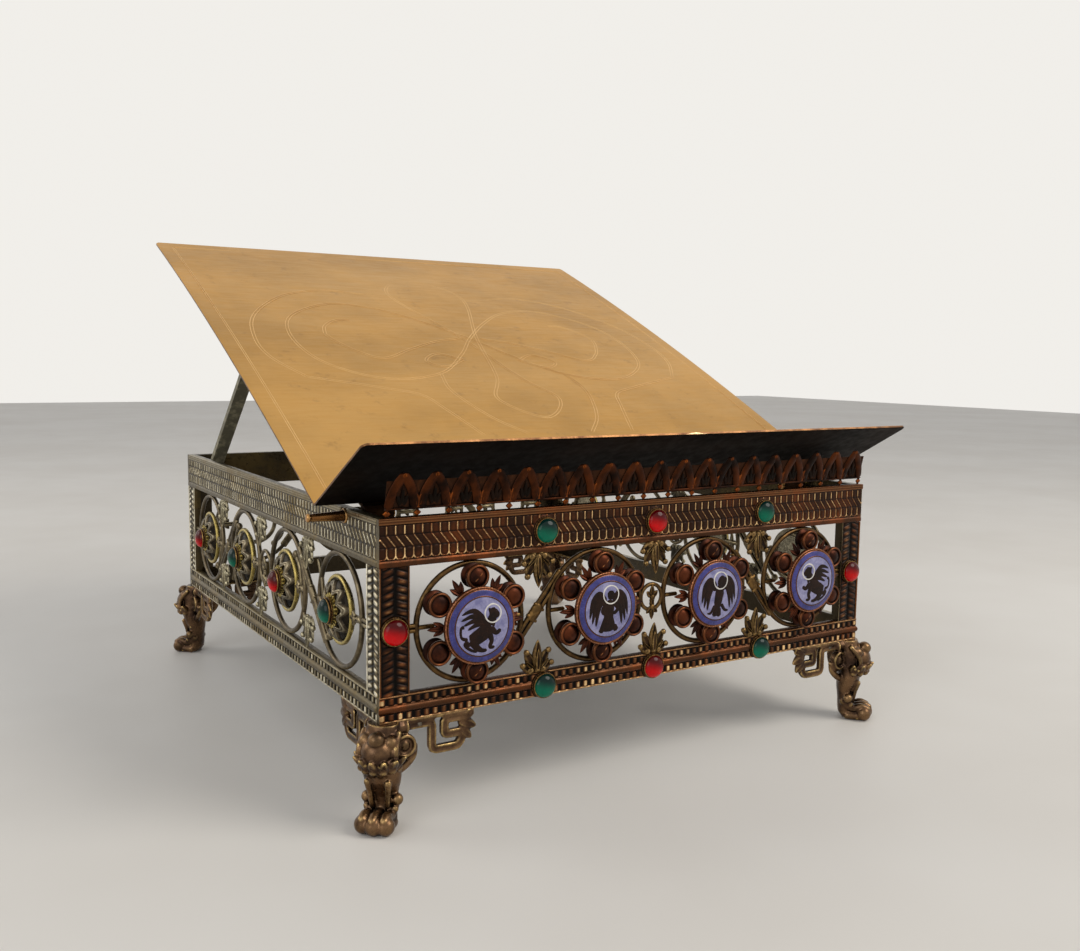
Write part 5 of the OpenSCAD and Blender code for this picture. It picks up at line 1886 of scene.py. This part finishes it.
class LECTERN_OT_stage(bpy.types.Operator):
    """Pale floor, soft lamps, pale surroundings and the camera"""

    bl_idname = "lectern.stage"
    bl_label = "Stage"

    def lamp(self, name, spot, aim, size, power, tint):
        """Round area lamp that looks at a point."""
        data = bpy.data.lights.new(name, "AREA")
        data.shape = "DISK"
        data.size = size
        data.energy = power
        data.color = tint
        made = bpy.data.objects.new(name, data)
        made.location = spot
        made.rotation_mode = "QUATERNION"
        way = Vector(aim) - Vector(spot)
        made.rotation_quaternion = way.to_track_quat("-Z", "Y")
        bpy.context.scene.collection.objects.link(made)

    def execute(self, context):
        self.floor()
        self.lamp("key", (0.9, -1.1, 1.3), (0, 0, 0.1), 1.1, 16.0, (1.0, 0.95, 0.88))
        self.lamp("fill", (-1.5, -0.7, 0.8), (0, 0, 0.1), 1.3, 8.0, (0.96, 0.98, 1.0))
        self.lamp("rim", (-1.3, 1.0, 0.9), (0, 0, 0.15), 1.0, 5.0, (1.0, 0.97, 0.93))
        self.room(context.scene)
        self.camera(context.scene)
        context.scene.view_settings.view_transform = "Standard"
        return {"FINISHED"}

    def floor(self):
        """Plain pale floor, 8 m square."""
        reach = 4000.0
        corners = [(-reach, -reach, 0), (reach, -reach, 0), (reach, reach, 0), (-reach, reach, 0)]
        floor = Shape().add((corners, [(0, 1, 2, 3)]))
        n = Nodes("pale floor")
        cloudy = n.remap(n.noise(3.0, 3.0), 0.3, 0.7)
        n.colour(n.mix(linear((222, 218, 211)), linear((229, 226, 220)), cloudy))
        n.roughness(n.noise(20.0, 3.0), 0.5, 0.6)
        floor = floor.piece("floor", [n.material])

    def room(self, scene):
        """Pale surroundings, dimmer as light than as they are seen or mirrored."""
        world = bpy.data.worlds.new("pale room")
        scene.world = world
        world.use_nodes = True
        tree = world.node_tree
        tree.nodes.clear()
        out = tree.nodes.new("ShaderNodeOutputWorld")
        backgrounds = []
        for colour, strength in (((0.92, 0.92, 0.94, 1), 0.42), ((0.88, 0.86, 0.82, 1), 1.0)):
            background = tree.nodes.new("ShaderNodeBackground")
            background.inputs["Color"].default_value = colour
            background.inputs["Strength"].default_value = strength
            backgrounds.append(background.outputs["Background"])
        path = tree.nodes.new("ShaderNodeLightPath")
        rays = path.outputs["Is Camera Ray"]
        for other in ("Is Glossy Ray", "Is Transmission Ray"):
            either = tree.nodes.new("ShaderNodeMath")
            either.operation = "MAXIMUM"
            tree.links.new(rays, either.inputs[0])
            tree.links.new(path.outputs[other], either.inputs[1])
            rays = either.outputs["Value"]
        both = tree.nodes.new("ShaderNodeMixShader")
        tree.links.new(rays, both.inputs["Fac"])
        tree.links.new(backgrounds[0], both.inputs[1])
        tree.links.new(backgrounds[1], both.inputs[2])
        tree.links.new(both.outputs["Shader"], out.inputs["Surface"])

    def camera(self, scene):
        """Camera that stands as the panel says."""
        view = scene.lectern_camera
        az, el, roll = view.azimuth, view.elevation, view.roll
        back = np.array(
            [math.sin(az) * math.cos(el), -math.cos(az) * math.cos(el), math.sin(el)]
        )
        right = np.array([math.cos(az), math.sin(az), 0.0])
        up = np.cross(back, right)
        turned = right * math.cos(roll) + up * math.sin(roll)
        upward = -right * math.sin(roll) + up * math.cos(roll)
        data = bpy.data.cameras.new("camera")
        data.sensor_fit = "HORIZONTAL"
        data.sensor_width = 36.0
        data.lens = view.lens
        data.clip_start = 0.05
        data.clip_end = 50.0
        camera = bpy.data.objects.new("camera", data)
        spot = np.array(view.target) + back * view.distance
        camera.matrix_world = Matrix(basis(turned, upward, back, spot).tolist())
        scene.collection.objects.link(camera)
        scene.camera = camera


# Sizes, colours and the panel


class LecternSizes(bpy.types.PropertyGroup):
    """Sizes and counts that a user would change"""

    wire: FloatProperty(
        name="Wire", description="Thickness of the ring wires", default=0.0027,
        min=0.001, max=0.0027, unit="LENGTH", subtype="DISTANCE",
    )
    arches: IntProperty(
        name="Arches", description="Number of arches in the crest", default=19, min=9, max=31,
    )
    cast_detail: FloatProperty(
        name="Cast Detail", description="Finest detail kept on the cast feet", default=0.00046,
        min=0.0003, max=0.002, unit="LENGTH", subtype="DISTANCE",
    )
    line_spacing: FloatProperty(
        name="Line Spacing", description="Distance between the two lines of the engraving",
        default=0.0017, min=0.001, max=0.004, unit="LENGTH", subtype="DISTANCE",
    )
    line_width: FloatProperty(
        name="Line Width", description="Width of an engraved line", default=0.0005,
        min=0.0002, max=0.001, unit="LENGTH", subtype="DISTANCE",
    )


def colour_property(name, description, colour):
    """Colour whose default is written as 0 to 255 in sRGB."""
    return FloatVectorProperty(
        name=name, description=description, default=linear(colour), size=4,
        subtype="COLOR", min=0.0, max=1.0,
    )


class LecternColours(bpy.types.PropertyGroup):
    """Main colours of the finishes"""

    front_brass: colour_property("Front Brass", "Patina of the front rails", (106, 67, 37))
    side_brass: colour_property("Side Brass", "Patina of the side and back rails", (146, 134, 104))
    sheet_brass: colour_property("Sheet Brass", "Satin brass of the desk", (200, 152, 78))
    enamel_blue: colour_property("Enamel", "Violet blue ring of the enamels", (62, 62, 132))
    red_glass: colour_property("Red Glass", "Red cabochons", (214, 8, 14))
    green_glass: colour_property("Green Glass", "Green cabochons", (0, 112, 84))


class LecternCamera(bpy.types.PropertyGroup):
    """Place and lens of the camera"""

    azimuth: FloatProperty(
        name="Azimuth", description="Direction of the camera round the lectern",
        default=math.radians(-31.91), subtype="ANGLE", unit="ROTATION",
    )
    elevation: FloatProperty(
        name="Elevation", description="Height of the camera as an angle",
        default=math.radians(6.37), subtype="ANGLE", unit="ROTATION",
    )
    roll: FloatProperty(
        name="Roll", description="Tilt of the camera about its line of sight",
        default=math.radians(0.82), subtype="ANGLE", unit="ROTATION",
    )
    distance: FloatProperty(
        name="Distance", description="Distance from the point looked at",
        default=0.63645, unit="LENGTH", subtype="DISTANCE",
    )
    target: FloatVectorProperty(
        name="Target", description="Point looked at", size=3,
        default=(0.00408, -0.04742, 0.13781), unit="LENGTH", subtype="TRANSLATION",
    )
    lens: FloatProperty(
        name="Lens", description="Focal length in millimetres", default=35.582, min=10.0,
    )


class LECTERN_PT_panel(bpy.types.Panel):
    """Sizes, colours and build steps of the lectern"""

    bl_idname = "LECTERN_PT_panel"
    bl_label = "Table-Top Lectern"
    bl_space_type = "VIEW_3D"
    bl_region_type = "UI"
    bl_category = "Lectern"

    def draw(self, context):
        scene = context.scene
        for group in (scene.lectern_sizes, scene.lectern_colours, scene.lectern_camera):
            box = self.layout.box()
            for name in group.__annotations__:
                box.prop(group, name)
        for operator in OPERATORS:
            self.layout.operator(operator.bl_idname)


OPERATORS = (
    LECTERN_OT_stage,
    LECTERN_OT_rails,
    LECTERN_OT_scrollwork,
    LECTERN_OT_leaves,
    LECTERN_OT_medallions,
    LECTERN_OT_bosses,
    LECTERN_OT_stones,
    LECTERN_OT_crest,
    LECTERN_OT_feet,
    LECTERN_OT_desk,
    LECTERN_OT_fittings,
)
GROUPS = (LecternSizes, LecternColours, LecternCamera)


def register():
    """Adds the classes, and the settings that each scene keeps."""
    for cls in (*GROUPS, *OPERATORS, LECTERN_PT_panel):
        bpy.utils.register_class(cls)
    bpy.types.Scene.lectern_sizes = PointerProperty(type=LecternSizes)
    bpy.types.Scene.lectern_colours = PointerProperty(type=LecternColours)
    bpy.types.Scene.lectern_camera = PointerProperty(type=LecternCamera)


def unregister():
    """Takes the settings and the classes away again."""
    del bpy.types.Scene.lectern_camera
    del bpy.types.Scene.lectern_colours
    del bpy.types.Scene.lectern_sizes
    for cls in reversed((*GROUPS, *OPERATORS, LECTERN_PT_panel)):
        bpy.utils.unregister_class(cls)


def main():
    """Builds every piece in order."""
    register()
    make_finishes(bpy.context.scene.lectern_colours)
    for operator in OPERATORS:
        group, name = operator.bl_idname.split(".")
        getattr(getattr(bpy.ops, group), name)()


if __name__ == "__main__":
    main()
